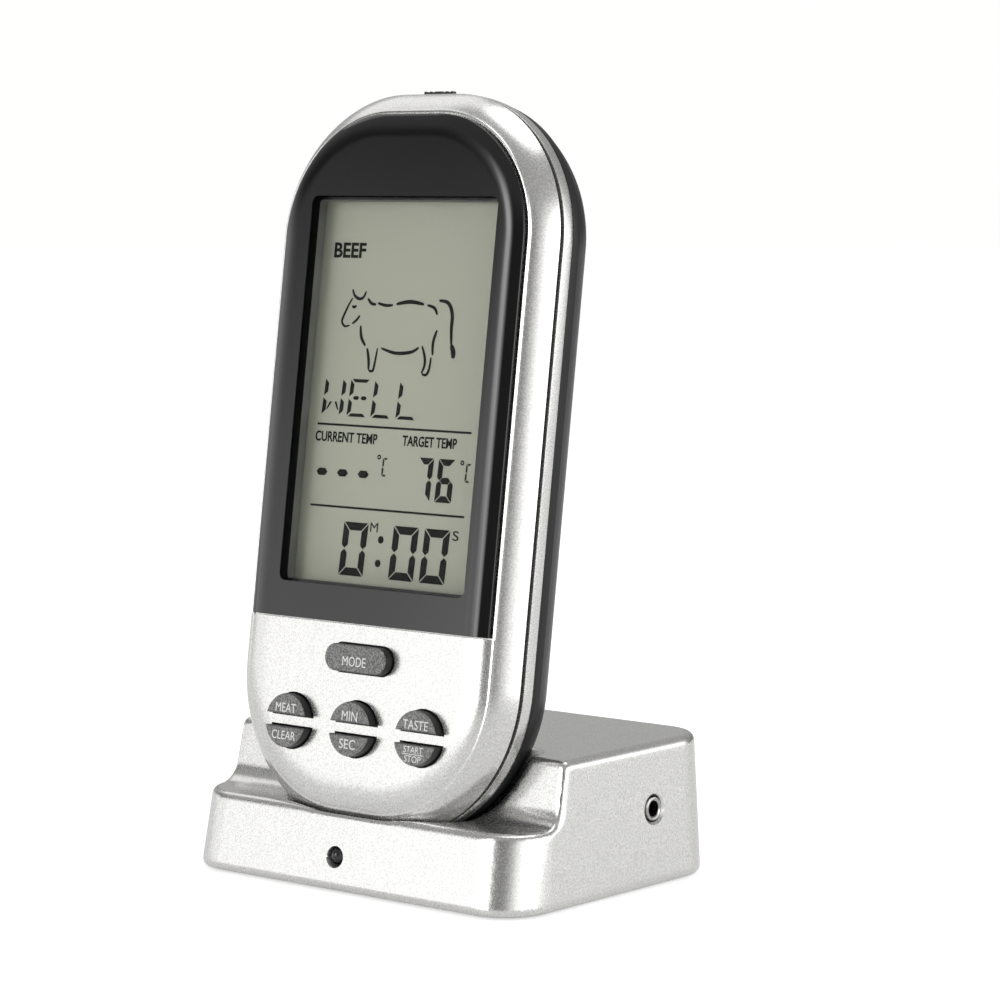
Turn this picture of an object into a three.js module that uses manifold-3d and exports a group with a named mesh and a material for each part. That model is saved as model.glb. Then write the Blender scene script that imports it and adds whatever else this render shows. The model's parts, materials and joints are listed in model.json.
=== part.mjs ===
// A wireless cooking thermometer: a handheld receiver leaning in the seat of its transmitter dock.
// Millimetres, +Z up, -Y to the front, with the origin under the middle of the dock.
import * as THREE from 'three';
import { mergeVertices } from 'three/addons/utils/BufferGeometryUtils.js';
import Module from 'manifold-3d';

const wasm = await Module();
wasm.setup();

// Dock
const DOCK_WIDTH = 82.5;
const DOCK_DEPTH = 60;
const DOCK_HEIGHT = 26.7;
const DOCK_RIM = 0.4;
const DOCK_CORNER = 9.5;
const SIDE_DRAFT = 0.04;
const FRONT_DRAFT = 0.19;
const REAR_DRAFT = 0.02;
const STEP_HEIGHT = 14.9;
const STEP_DEEP = -19.05;
const STEP_FILLET = 3.2;
const STEP_WALL_LEAN = THREE.MathUtils.degToRad(12.2);
const WALL = 2;
const COVER_BOTTOM = 0.6;
const COVER_TOP = 2.6;
const COVER_INSET = 2.6;
const DOCK_DOOR = { half: 26.6, low: -3, high: 21.3, thick: 1, gap: 0.3 };
const DOCK_SCREWS = [[-22, -22.6], [22, -22.6], [-33, 20], [33, 20]];
const DOCK_SCREW_SEAT = 1.6;
const FEET = [[-32.5, -20], [32.5, -20], [-33, 12], [33, 12]];
const FOOT = { radius: 4, height: 1.3, edge: 0.2 };
const JACK = { y: 10.6, z: 14.7, face: 41.15, radius: 2.6, bore: 1.65, bodyBore: 1.4 };
const LAMP = { x: -2.4, z: 6.7, radius: 1.5, base: 23.4, front: 27.8 };

// Receiver: x across, y up the case, z out of its front face
const LEAN = THREE.MathUtils.degToRad(8.39);
const RECEIVER_PLACE = new THREE.Vector3(0, -28.31, 15.02);
const CASE_HALF = 33.43;
const CASE_LOW = -3.56;
const CASE_HIGH = 131.96;
const CASE_LOW_RADIUS = 28.6;
const CASE_HIGH_RADIUS = 27.2;
const CASE_WALL = 1.8;
const SEAM_FRONT = -6.46;
const SEAM_REAR = -6.86;
const BAND_REAR = -9.9;
const BACK_FRONT = -10.2;
const BACK_FACE = -20;
const LENS_LOW = 34.2;
const LENS_INSET = 4.15;
const LENS_BACK = -2.05;
const WINDOW = { half: 22.8, low: 40.8, high: 112.4, corner: 1.5 };
const GLASS = { half: 25.2, low: 37.8, high: 115.4, back: -7.2, front: -4.9 };
const BOARD_FRONT = -9.3;
const BOARD_BACK = -10.9;
const SCREW_PLACES = [[-22, 35.3], [22, 35.3], [-16, 120.5], [16, 120.5]];
const BACK_SCREW_SEAT = -13.8;
const BUZZER_PLACE = [-12, 108, 0];
const UNIT_BUTTON_PLACE = [12, 108, 0];
const KNOB = { half: 3.55, back: -9, front: -7.8, shoulder: 131.9, top: 132.9 };
const KNOB_SLOT = { half: 6, back: -9.3, front: -7.5 };

// Sections of the case and of the room round it, as [height, inset] from back to front
const FRONT_SECTIONS = [[SEAM_FRONT, 0], [-4.4, 1.1], [-2.9, 2.5], [-2.1, 3.75], [-1.6, 5],
  [-1.15, 7.2], [-0.9, 10.5]];
const FRONT_HOLLOW = [[SEAM_FRONT - 1, CASE_WALL], [-4.4, 3], [-2.9, 5.2]];
const LENS_SECTIONS = [[LENS_BACK, LENS_INSET], [-1.2, 4.5], [-0.5, 5.6], [-0.12, 7.1], [0, 8.25]];
const BACK_SECTIONS = [[BACK_FACE, 9], [-19.7, 7], [-18.6, 4.6], [-16.3, 2.5], [-12.9, 0.9],
  [BACK_FRONT, 0.3]];
const BACK_HOLLOW = [[-18, 9], [-16.8, 6], [-14, 4], [BACK_FRONT + 1, 2.4]];
const SEAT_SECTIONS = [[-20.6, 7.4], [-19, 3.8], [-16.4, 1.9], [-12.9, 0.4], [BAND_REAR, -0.5],
  [SEAM_FRONT + 0.2, -0.5], [-4.3, 0.6], [-2.8, 2], [-2, 3.3], [-1.5, 4.5]];

// Buttons of the receiver
const BUTTON = { back: -3.9, shoulder: -3.3, top: 1.2, flange: 0.7, chamfer: 0.3, gap: 0.35 };
const MODE_BUTTON = { y: 27.9, half: 7.5, rise: 2.5 };
const BUTTON_RADIUS = 5;
const BUTTON_SPLIT = 1.15;
const BUTTON_ROW = 15.15;
const BUTTON_PITCH = 16;

// Screw posts
const BOSS_RADIUS = 2.1;
const PILOT_RADIUS = 1.1;

// Cells, two side by side in a bay of this inner size
const CELL_RADIUS = 5.05;
const CELL_LENGTH = 44.5;
const CELL_OFFSET = 5.45;
const CELL_START = 4.9;
const BAY = { half: 11.2, length: 51, wall: 1.2 };
const BAY_LOW = 46;
const CONTACT_THICK = 0.4;
const RECEIVER_CELL_DEPTH = -13.5;
const DOCK_CELL_HEIGHT = 8.35;
const DOCK_CELL_MIDDLE = 9.25;

const SILVER = [0xb9b8b5, 0.35, 0.8];
const DARK = [0x34353a, 0.5, 0.2];
const BUTTON_GREY = [0x63646a, 0.45, 0.6];
const BLACK = [0x151515, 0.4, 0];
const BOARD_GREEN = [0x1f6b3c, 0.6, 0];
const STEEL = [0xc9c9c6, 0.3, 1];
const RUBBER = [0x202022, 0.9, 0];
const COPPER = [0xc58a4a, 0.3, 1];
const CELL_BLUE = [0x2f3b46, 0.35, 0.6];
const LENS_BLACK = [0x0b0b0c, 0.08, 0];
const FRAME_GREY = [0x8f9190, 0.6, 0];
const DISPLAY_GREEN = [0x9fa392, 0.25, 0];
const STRIP_PINK = [0x8c6f7d, 0.8, 0];

/** Joins equal corners and drops the faces that have no area. */
function clean(geometry) {
  const bare = geometry.clone();
  bare.deleteAttribute('normal');
  bare.deleteAttribute('uv');
  const merged = mergeVertices(bare, 1e-4);
  const corners = merged.index.array;
  const kept = [];
  for (let i = 0; i < corners.length; i += 3) {
    const [a, b, c] = [corners[i], corners[i + 1], corners[i + 2]];
    if (a !== b && b !== c && c !== a) kept.push(a, b, c);
  }
  merged.setIndex(kept);
  return merged;
}

function solidOf(geometry) {
  const merged = clean(geometry);
  const vertProperties = new Float32Array(merged.attributes.position.array);
  const triVerts = new Uint32Array(merged.index.array);
  return new wasm.Manifold(new wasm.Mesh({ numProp: 3, vertProperties, triVerts }));
}

function geometryOf(solid) {
  const { vertProperties, triVerts } = solid.getMesh();
  const geometry = new THREE.BufferGeometry();
  geometry.setAttribute('position', new THREE.BufferAttribute(vertProperties, 3));
  geometry.setIndex(new THREE.BufferAttribute(triVerts, 1));
  return geometry;
}

function cut(geometry, ...tools) {
  return geometryOf(tools.reduce((solid, tool) => solid.subtract(solidOf(tool)), solidOf(geometry)));
}

function join(geometry, ...others) {
  return geometryOf(others.reduce((solid, other) => solid.add(solidOf(other)), solidOf(geometry)));
}

function common(geometry, other) {
  return geometryOf(solidOf(geometry).intersect(solidOf(other)));
}

/** Corner points of an upright shape with rounded corners, anticlockwise from its lower right. */
function roundedOutline(half, low, high, lowRadius, highRadius, steps = 8) {
  const corners = [
    [half - lowRadius, low + lowRadius, lowRadius, -90],
    [half - highRadius, high - highRadius, highRadius, 0],
    [highRadius - half, high - highRadius, highRadius, 90],
    [lowRadius - half, low + lowRadius, lowRadius, 180],
  ];
  return corners.flatMap(([x, y, radius, from]) => Array.from({ length: steps + 1 }, (_, i) => {
    const angle = THREE.MathUtils.degToRad(from + 90 * i / steps);
    return new THREE.Vector2(x + radius * Math.cos(angle), y + radius * Math.sin(angle));
  }));
}

/** A closed body through outlines of as many points each, given as [height, outline] upwards. */
function loft(sections) {
  const count = sections[0][1].length;
  const places = sections.flatMap(([height, outline]) => outline.flatMap((p) => [p.x, p.y, height]));
  const faces = [];
  for (let ring = 0; ring + 1 < sections.length; ring += 1) {
    for (let i = 0; i < count; i += 1) {
      const a = ring * count + i;
      const b = ring * count + (i + 1) % count;
      faces.push(a, b, b + count, a, b + count, a + count);
    }
  }
  const top = (sections.length - 1) * count;
  for (const [a, b, c] of THREE.ShapeUtils.triangulateShape(sections[0][1], [])) faces.push(c, b, a);
  for (const [a, b, c] of THREE.ShapeUtils.triangulateShape(sections.at(-1)[1], [])) {
    faces.push(top + a, top + b, top + c);
  }
  const geometry = new THREE.BufferGeometry();
  geometry.setAttribute('position', new THREE.Float32BufferAttribute(places, 3));
  geometry.setIndex(faces);
  return geometry;
}

function slab(outline, from, to) {
  return loft([[from, outline], [to, outline]]);
}

/** A box between two corners. */
function box(low, high) {
  const size = high.map((value, i) => value - low[i]);
  const middle = high.map((value, i) => (value + low[i]) / 2);
  return new THREE.BoxGeometry(...size).translate(...middle);
}

/** A round bar along z. */
function rod(radius, from, to, segments = 20) {
  return new THREE.CylinderGeometry(radius, radius, to - from, segments)
    .rotateX(Math.PI / 2).translate(0, 0, (from + to) / 2);
}

/** A turned body about z from [radius, height] pairs that start and end on the axis or close up. */
function turned(profile, segments = 20) {
  const points = profile.map(([radius, height]) => new THREE.Vector2(radius, height));
  return clean(new THREE.LatheGeometry(points, segments).rotateX(Math.PI / 2));
}

class Helix extends THREE.Curve {
  constructor(radius, pitch, turns) {
    super();
    Object.assign(this, { radius, pitch, turns });
  }

  getPoint(t, target = new THREE.Vector3()) {
    const angle = 2 * Math.PI * this.turns * t;
    const height = this.pitch * this.turns * t;
    return target.set(this.radius * Math.cos(angle), this.radius * Math.sin(angle), height);
  }
}

/** A wire coil that rises along z from 0. */
function coil(radius, pitch, turns, wire) {
  const section = new THREE.Shape().absarc(0, 0, wire, 0, 2 * Math.PI);
  const path = new Helix(radius, pitch, turns);
  const steps = Math.round(turns * 8);
  return new THREE.ExtrudeGeometry(section, { steps, curveSegments: 3, extrudePath: path });
}

function part(name, geometry, [color, roughness, metalness]) {
  geometry.computeVertexNormals();
  const mesh = new THREE.Mesh(geometry, new THREE.MeshStandardMaterial({ color, roughness, metalness }));
  mesh.name = name;
  return mesh;
}

// ---- Receiver ----

/** The case seen from the front, moved in by a distance all round. */
function caseOutline(inset) {
  const radii = [CASE_LOW_RADIUS - inset, CASE_HIGH_RADIUS - inset];
  return roundedOutline(CASE_HALF - inset, CASE_LOW + inset, CASE_HIGH - inset, ...radii);
}

function caseLoft(sections) {
  return loft(sections.map(([height, inset]) => [height, caseOutline(inset)]));
}

function windowOutline(grow) {
  const { half, low, high, corner } = WINDOW;
  return roundedOutline(half + grow, low - grow, high + grow, corner + grow, corner + grow, 3);
}

/** A pill-shaped button, made larger by grow. */
function pillOutline(grow) {
  const { half, rise } = MODE_BUTTON;
  const radius = rise + grow - 0.01;
  return roundedOutline(half + grow, -rise - grow, rise + grow, radius, radius, 6);
}

/** Half of a split round button: an arc closed by a chord, above the split (side 1) or below (-1). */
function halfOutline(side, grow) {
  const radius = BUTTON_RADIUS + grow;
  const start = Math.asin((BUTTON_SPLIT - grow) / radius);
  const steps = 14;
  const points = Array.from({ length: steps + 1 }, (_, i) => {
    const angle = start + (Math.PI - 2 * start) * i / steps;
    return new THREE.Vector2(radius * Math.cos(angle), side * radius * Math.sin(angle));
  });
  return side > 0 ? points : points.reverse();
}

/** Name, place and outline of each front button. */
function buttonPlan() {
  const columns = [['meat', 'clear'], ['minute', 'second'], ['taste', 'start_stop']];
  const plan = [{ name: 'mode_button', x: 0, y: MODE_BUTTON.y, outline: pillOutline }];
  columns.forEach(([upper, lower], i) => {
    const x = (i - 1) * BUTTON_PITCH;
    plan.push({ name: `${upper}_button`, x, y: BUTTON_ROW, outline: (grow) => halfOutline(1, grow) });
    plan.push({ name: `${lower}_button`, x, y: BUTTON_ROW, outline: (grow) => halfOutline(-1, grow) });
  });
  return plan;
}

function buttonCap({ name, x, y, outline }) {
  const { back, shoulder, top, flange, chamfer } = BUTTON;
  const cap = loft([
    [back, outline(flange)],
    [shoulder, outline(flange)],
    [shoulder, outline(0)],
    [top - chamfer, outline(0)],
    [top, outline(-chamfer)],
  ]);
  return part(name, cap.translate(x, y, 0), BUTTON_GREY);
}

/** Everything above a line across the case, between two depths. */
function aboveLine(line, back, front) {
  const reach = 40;
  return box([-reach, line, back], [reach, CASE_HIGH + reach, front]);
}

function frontHousing() {
  const lensBed = -3.9;
  const hollow = cut(caseLoft(FRONT_HOLLOW), aboveLine(LENS_LOW - 2.2, lensBed, 0));
  const lensSeat = common(
    slab(caseOutline(LENS_INSET - 0.25), LENS_BACK - 0.3, 2),
    aboveLine(LENS_LOW - 0.3, -4, 3),
  );
  const bosses = SCREW_PLACES.map(([x, y]) => rod(BOSS_RADIUS, BOARD_BACK, -3.2, 14).translate(x, y, 0));
  const bores = SCREW_PLACES.map(([x, y]) => rod(PILOT_RADIUS, -12, -5, 10).translate(x, y, 0));
  const holes = buttonPlan().map(({ x, y, outline }) => slab(outline(BUTTON.gap), -5, 2).translate(x, y, 0));
  const opened = cut(caseLoft(FRONT_SECTIONS), hollow, lensSeat, slab(windowOutline(1.4), -5, 2), ...holes);
  return part('front_housing', cut(join(opened, ...bosses), ...bores), SILVER);
}

function displayLens() {
  const plate = common(caseLoft(LENS_SECTIONS), aboveLine(LENS_LOW, -4, 1));
  return part('display_lens', plate, LENS_BLACK);
}

/** The collar that shows as the side walls of the window and holds the glass behind it. */
function displayFrame() {
  const flange = slab(windowOutline(3), -4.6, -4.15);
  const collar = slab(windowOutline(1.1), -4.3, -2.65);
  return part('display_frame', cut(join(flange, collar), slab(windowOutline(0), -6, 0)), FRAME_GREY);
}

function displayGlass() {
  const { half, low, high, back, front } = GLASS;
  return part('display_glass', box([-half, low, back], [half, high, front]), DISPLAY_GREEN);
}

function displayConnector() {
  return part('display_connector_strip', box([-22, 38.4, -9], [22, 40.6, -7.5]), STRIP_PINK);
}

function keypadMat() {
  const sheet = slab(roundedOutline(26.5, 3, 32.4, 22, 3), -9, -8);
  const posts = buttonPlan().map(({ x, y, outline }) => (
    loft([[-8.2, outline(0.2)], [-4.8, outline(-0.7)]]).translate(x, y, 0)
  ));
  return part('keypad_mat', join(sheet, ...posts), RUBBER);
}

function mainBoard() {
  const holes = SCREW_PLACES.slice(0, 2).map(([x, y]) => rod(2.5, -12, -8, 14).translate(x, y, 0));
  const board = slab(roundedOutline(28, 2, 44, 23, 2), BOARD_BACK, BOARD_FRONT);
  return part('main_board', cut(board, ...holes), BOARD_GREEN);
}

function sideBand() {
  const slot = box(
    [-KNOB_SLOT.half, CASE_HIGH - 4, KNOB_SLOT.back],
    [KNOB_SLOT.half, CASE_HIGH + 2, KNOB_SLOT.front],
  );
  const inside = slab(caseOutline(CASE_WALL), BAND_REAR - 1, SEAM_REAR + 1);
  const ring = cut(slab(caseOutline(0), BAND_REAR, SEAM_REAR), inside, slot);
  return part('side_band', ring, SILVER);
}

function backCover() {
  const outside = caseLoft(BACK_SECTIONS);
  const bayTop = BAY_LOW + BAY.length;
  const bayBox = (grow, from, to) => box(
    [-BAY.half - grow, BAY_LOW - grow, from],
    [BAY.half + grow, bayTop + grow, to],
  );
  const towers = SCREW_PLACES.map(([x, y]) => common(outside, rod(3.1, -20, -11.3, 18).translate(x, y, 0)));
  const recesses = SCREW_PLACES.flatMap(([x, y]) => [
    rod(2.35, -21, BACK_SCREW_SEAT + 0.3, 16).translate(x, y, 0),
    rod(1.15, -15, -10, 10).translate(x, y, 0),
  ]);
  const soundHoles = [[0, 0], [2.6, 0], [-2.6, 0], [0, 2.6], [0, -2.6]].map(([x, y]) => (
    rod(0.75, -21, -17, 8).translate(x, y, 0).translate(...BUZZER_PLACE)
  ));
  const walls = join(cut(outside, caseLoft(BACK_HOLLOW)), bayBox(BAY.wall, -18.9, -7.5), ...towers);
  const opened = cut(
    walls,
    bayBox(0, -22, -8.2),
    bayBox(1.8, -22, -18.6),
    rod(2.3, -22, -17, 18).translate(...UNIT_BUTTON_PLACE),
    ...recesses,
    ...soundHoles,
  );
  return part('back_cover', opened, DARK);
}

function batteryDoor() {
  const grow = 1.5;
  const plate = box(
    [-BAY.half - grow, BAY_LOW - grow, BACK_FACE],
    [BAY.half + grow, BAY_LOW + BAY.length + grow, BACK_FACE + 1.1],
  );
  const grooves = [0, 1, 2, 3].map((i) => (
    box([-6 + i * 0.8, 88 + i * 2, BACK_FACE - 1], [6 - i * 0.8, 88.9 + i * 2, BACK_FACE + 0.4])
  ));
  return part('battery_door', cut(plate, ...grooves), DARK);
}

/** A cell with its base at 0 and its nub at CELL_LENGTH along z. */
function cell(name) {
  const nub = 1.9;
  const shoulder = CELL_LENGTH - 1;
  const edge = CELL_RADIUS - 0.45;
  const profile = [[0, 0], [edge, 0], [CELL_RADIUS, 0.4], [CELL_RADIUS, shoulder - 0.5],
    [edge, shoulder], [nub, shoulder], [nub, CELL_LENGTH], [0, CELL_LENGTH]];
  return part(name, turned(profile, 18), CELL_BLUE);
}

/** Two cells and their contacts, laid along y from 0 to BAY.length. */
function cellPair(prefix) {
  const pair = new THREE.Group();
  const first = cell(`${prefix}_cell_left`);
  first.rotation.x = -Math.PI / 2;
  first.position.set(-CELL_OFFSET, CELL_START, 0);
  const second = cell(`${prefix}_cell_right`);
  second.rotation.x = Math.PI / 2;
  second.position.set(CELL_OFFSET, BAY.length - CELL_START, 0);
  const [inner, outer, tall] = [1.2, 9.6, 3.6];
  const plate = (from, to, low) => box([from, low, -tall], [to, low + CONTACT_THICK, tall]);
  const nearPlate = 0.3;
  const farPlate = BAY.length - nearPlate - CONTACT_THICK;
  const springFoot = 0.55;
  const spring = () => coil(2.9, 1.25, 2.8, 0.32).rotateX(-Math.PI / 2);
  const bridge = join(plate(-outer, outer, nearPlate), spring().translate(-CELL_OFFSET, springFoot, 0));
  const negative = join(
    plate(inner, outer, farPlate),
    spring().rotateX(Math.PI).translate(CELL_OFFSET, BAY.length - springFoot, 0),
  );
  pair.add(
    first,
    second,
    part(`${prefix}_bridge_contact`, bridge, STEEL),
    part(`${prefix}_negative_contact`, negative, STEEL),
    part(`${prefix}_positive_contact`, plate(-outer, -inner, farPlate), STEEL),
  );
  return pair;
}

function radioBoard() {
  const outline = roundedOutline(13.3, 101, 123, 1.5, 1.5, 3);
  return part('radio_board', slab(outline, BOARD_BACK, BOARD_FRONT), BOARD_GREEN);
}

function radioAntenna(name, radius, pitch, turns) {
  return part(name, coil(radius, pitch, turns, 0.3).rotateY(Math.PI / 2), COPPER);
}

function buzzer() {
  const body = turned([[0, -17.5], [1, -17.5], [1, -16.6], [4.2, -16.6], [4.2, -17.5], [4.5, -17.5],
    [4.5, -12], [0, -12]]);
  return part('buzzer', body.translate(...BUZZER_PLACE), BLACK);
}

function unitButton() {
  const profile = [[0, -11.7], [1.2, -11.7], [1.2, -17.1], [2.8, -17.1], [2.8, -17.7], [1.95, -17.7],
    [1.95, -20.2], [1.7, -20.45], [0, -20.45]].reverse();
  return part('unit_button', turned(profile).translate(...UNIT_BUTTON_PLACE), BUTTON_GREY);
}

/** The knob that stands out of the top of the case: two ribs, a long bar and two ribs. */
function powerKnob() {
  const { half, back, front, shoulder, top } = KNOB;
  const rib = 0.8;
  const pitch = 1.3;
  const stem = box([-half, 128.2, back], [half, shoulder, front]);
  const foot = box([-1.2, 126.4, back], [1.2, 128.4, front]);
  const starts = [-half, pitch - half, half - pitch - rib, half - rib];
  const ribs = starts.map((from) => box([from, shoulder - 0.2, back], [from + rib, top, front]));
  const bar = half - 2 * pitch;
  ribs.push(box([-bar, shoulder - 0.2, back], [bar, top, front]));
  return part('power_knob', join(stem, foot, ...ribs), BLACK);
}

function powerSwitch() {
  const body = box([-5.5, 124.6, BOARD_BACK], [5.5, 127.9, -6.6]);
  const mouth = box([-4, 126.1, KNOB_SLOT.back], [4, 129, KNOB_SLOT.front]);
  return part('power_switch_body', cut(body, mouth), STEEL);
}

/** A cross-head screw along z with the underside of its head at 0 and its tip upwards. */
function screw(name, head, headHeight, shank, length) {
  const profile = [[0, -headHeight], [head * 0.8, -headHeight], [head, -headHeight * 0.4], [head, 0],
    [shank, 0], [shank, length - 0.8], [0, length]];
  const slots = [0, 1].map((turn) => (
    box([-head * 0.55, -0.25, -headHeight - 1], [head * 0.55, 0.25, -headHeight * 0.45])
      .rotateZ(turn * Math.PI / 2)
  ));
  return part(name, cut(turned(profile, 14), ...slots), STEEL);
}

function receiver() {
  const group = new THREE.Group();
  group.position.copy(RECEIVER_PLACE);
  group.rotation.x = Math.PI / 2 - LEAN;
  const cells = cellPair('receiver');
  cells.position.set(0, BAY_LOW, RECEIVER_CELL_DEPTH);
  const antenna = radioAntenna('receiver_antenna_coil', 1.5, 1.3, 7);
  antenna.position.set(-4.5, 119, -13);
  const screws = SCREW_PLACES.map(([x, y], i) => {
    const one = screw(`back_screw_${i + 1}`, 2, 1.6, 0.85, 6.5);
    one.position.set(x, y, BACK_SCREW_SEAT);
    return one;
  });
  group.add(
    frontHousing(),
    displayLens(),
    displayFrame(),
    displayGlass(),
    displayConnector(),
    keypadMat(),
    mainBoard(),
    ...buttonPlan().map(buttonCap),
    sideBand(),
    backCover(),
    batteryDoor(),
    cells,
    radioBoard(),
    antenna,
    buzzer(),
    unitButton(),
    powerKnob(),
    powerSwitch(),
    ...screws,
  );
  return group;
}

// ---- Dock ----

/** The dock seen from above at a height, moved in by a distance all round. */
function dockOutline(height, inset) {
  return roundedOutline(
    DOCK_WIDTH / 2 - SIDE_DRAFT * height - inset,
    -DOCK_DEPTH / 2 + FRONT_DRAFT * height + inset,
    DOCK_DEPTH / 2 - REAR_DRAFT * height - inset,
    DOCK_CORNER - inset,
    DOCK_CORNER - inset,
    7,
  );
}

function dockLoft(sections) {
  return loft(sections.map(([height, inset]) => [height, dockOutline(height, inset)]));
}

/** The space above the front step, reaching further into the dock by grow. */
function stepSpace(grow) {
  const outline = new THREE.Shape();
  const far = 45;
  const floor = STEP_HEIGHT - grow;
  const rise = STEP_FILLET * (1 - Math.sin(STEP_WALL_LEAN));
  const wallFoot = STEP_DEEP + grow + STEP_FILLET * Math.cos(STEP_WALL_LEAN);
  outline.moveTo(-far, floor);
  outline.lineTo(STEP_DEEP + grow, floor);
  outline.absarc(STEP_DEEP + grow, floor + STEP_FILLET, STEP_FILLET, -Math.PI / 2, -STEP_WALL_LEAN);
  outline.lineTo(wallFoot + (far - floor - rise) * Math.tan(STEP_WALL_LEAN), far);
  outline.lineTo(-far, far);
  return new THREE.ExtrudeGeometry(outline, { depth: 2 * far, bevelEnabled: false, curveSegments: 6 })
    .rotateX(Math.PI / 2).rotateZ(Math.PI / 2).translate(-far, 0, 0);
}

/** The seat that the receiver stands in, with room round it, reaching further by grow. */
function seatSpace(grow) {
  const open = 60;
  const seat = loft(SEAT_SECTIONS.map(([depth, inset], i) => {
    const shift = inset - grow;
    const height = i ? depth : depth - grow;
    const half = CASE_HALF - shift;
    return [height, roundedOutline(half, CASE_LOW + shift, open, CASE_LOW_RADIUS - shift, 5)];
  }));
  return seat.rotateX(Math.PI / 2 - LEAN).translate(...RECEIVER_PLACE.toArray());
}

function dockShell() {
  const outside = dockLoft([[DOCK_RIM, 0], [DOCK_HEIGHT - 1.3, 0], [DOCK_HEIGHT - 0.4, 0.4],
    [DOCK_HEIGHT, 1.3]]);
  const hollow = cut(
    dockLoft([[DOCK_RIM - 1, WALL], [DOCK_HEIGHT - WALL, WALL]]),
    stepSpace(WALL),
    seatSpace(WALL),
  );
  const bosses = DOCK_SCREWS.map(([x, y]) => (
    common(outside, rod(2.5, 3, y < 0 ? 13.5 : 25.5, 14).translate(x, y, 0))
  ));
  const bores = DOCK_SCREWS.map(([x, y]) => rod(PILOT_RADIUS, 2, 10.5, 10).translate(x, y, 0));
  const jackHole = rod(JACK.radius + 0.35, 30, 45, 20).rotateY(Math.PI / 2).translate(0, JACK.y, JACK.z);
  const lampHole = rod(LAMP.radius + 0.4, 22, 32, 20).rotateX(Math.PI / 2).translate(LAMP.x, 0, LAMP.z);
  const shell = cut(outside, stepSpace(0), seatSpace(0), hollow);
  return part('dock_upper_shell', cut(join(shell, ...bosses), ...bores, jackHole, lampHole), SILVER);
}

function dockCover() {
  const { half, length, wall } = BAY;
  const bay = (grow, from, to) => box(
    [-length / 2 - grow, DOCK_CELL_MIDDLE - half - grow, from],
    [length / 2 + grow, DOCK_CELL_MIDDLE + half + grow, to],
  );
  const plate = slab(dockOutline(0, COVER_INSET), COVER_BOTTOM, COVER_TOP);
  const door = DOCK_DOOR;
  const doorTravel = 4;
  const bedTop = COVER_BOTTOM + door.thick + door.gap;
  const doorBed = box(
    [-door.half - door.gap, door.low - door.gap, -1],
    [door.half + door.gap, door.high + doorTravel + door.gap, bedTop],
  );
  const screwHoles = DOCK_SCREWS.flatMap(([x, y]) => [
    rod(2.3, -1, DOCK_SCREW_SEAT + 0.3, 14).translate(x, y, 0),
    rod(PILOT_RADIUS, 1, 4, 10).translate(x, y, 0),
  ]);
  const footBeds = FEET.map(([x, y]) => (
    rod(FOOT.radius + 0.3, -1, FOOT.height + 0.3, 20).translate(x, y, 0)
  ));
  const knobSlot = box([24.2, -12.2, -1], [29.6, -9.4, 4]);
  const body = join(plate, bay(wall, COVER_TOP - 0.2, 14.9));
  const opened = cut(body, bay(0, -1, 13.7), doorBed, knobSlot, ...screwHoles, ...footBeds);
  return part('dock_bottom_cover', opened, DARK);
}

function dockDoor() {
  const { half, low, high, thick } = DOCK_DOOR;
  const plate = box([-half, low, COVER_BOTTOM], [half, high, COVER_BOTTOM + thick]);
  const grooves = [0, 1, 2].map((i) => box([-7, 2 + i * 2.2, 0], [7, 3 + i * 2.2, 0.95]));
  return part('dock_battery_door', cut(plate, ...grooves), DARK);
}

function dockSwitch() {
  const body = cut(box([22.4, -13.6, 2.9], [31.4, -8, 7.4]), box([23.8, -12.4, 2], [30, -9.2, 5.2]));
  const lever = box([24.6, -11.9, 0.9], [27, -9.7, 4.8]);
  return [part('dock_switch_body', body, STEEL), part('dock_switch_knob', lever, BLACK)];
}

function dockBoard() {
  const board = box([-18, -21.5, 3.6], [18, -6.5, 5.2]);
  const can = box([-15, -17.5, 5.5], [-1, -8, 7.4]);
  const antenna = radioAntenna('dock_antenna_coil', 0.95, 1.1, 7);
  antenna.position.set(8.5, -10, 6.9);
  return [part('dock_board', board, BOARD_GREEN), part('dock_radio_can', can, STEEL), antenna];
}

/** The probe socket: a black body inside the wall and a bright ring that shows outside. */
function probeJack() {
  const { y, z, face, radius, bore, bodyBore } = JACK;
  const ringBack = face - 2.75;
  const half = 3;
  const bodyFront = ringBack - 0.3;
  const body = cut(
    box([28.2, -half, -half], [bodyFront, half, half]),
    rod(bodyBore, bodyFront - 7.3, bodyFront + 1, 16).rotateY(Math.PI / 2),
  );
  const neck = radius - 0.3;
  const shoulder = face - 0.95;
  const ring = turned([[bore, ringBack], [neck, ringBack], [neck, shoulder], [radius, shoulder + 0.3],
    [radius, face - 0.2], [radius - 0.25, face], [bore + 0.2, face], [bore, face - 0.25],
    [bore, ringBack]], 24).rotateY(Math.PI / 2);
  return [
    part('probe_jack_body', body.translate(0, y, z), BLACK),
    part('probe_jack_ring', ring.translate(0, y, z), STEEL),
  ];
}

/** A domed signal light that looks out of the front wall, with its two legs turned down. */
function signalLight() {
  const { x: across, z: up, radius, base, front } = LAMP;
  const dome = Array.from({ length: 6 }, (_, i) => {
    const angle = i * Math.PI / 10;
    return [radius * Math.cos(angle), front + radius * Math.sin(angle)];
  });
  const rim = [[0, base - 0.8], [radius + 0.3, base - 0.8], [radius + 0.3, base], [radius, base]];
  const bulb = turned([...rim, ...dome], 20).rotateX(Math.PI / 2);
  const legs = [-0.6, 0.6].map((x) => box([x - 0.25, -22.7, -0.25], [x + 0.25, -20.6, 0.25]));
  const feet = [-0.6, 0.6].map((x) => box([x - 0.25, -21.1, -1.2], [x + 0.25, -20.6, 0.2]));
  return part('signal_light', join(bulb, ...legs, ...feet).translate(across, 0, up), BLACK);
}

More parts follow.
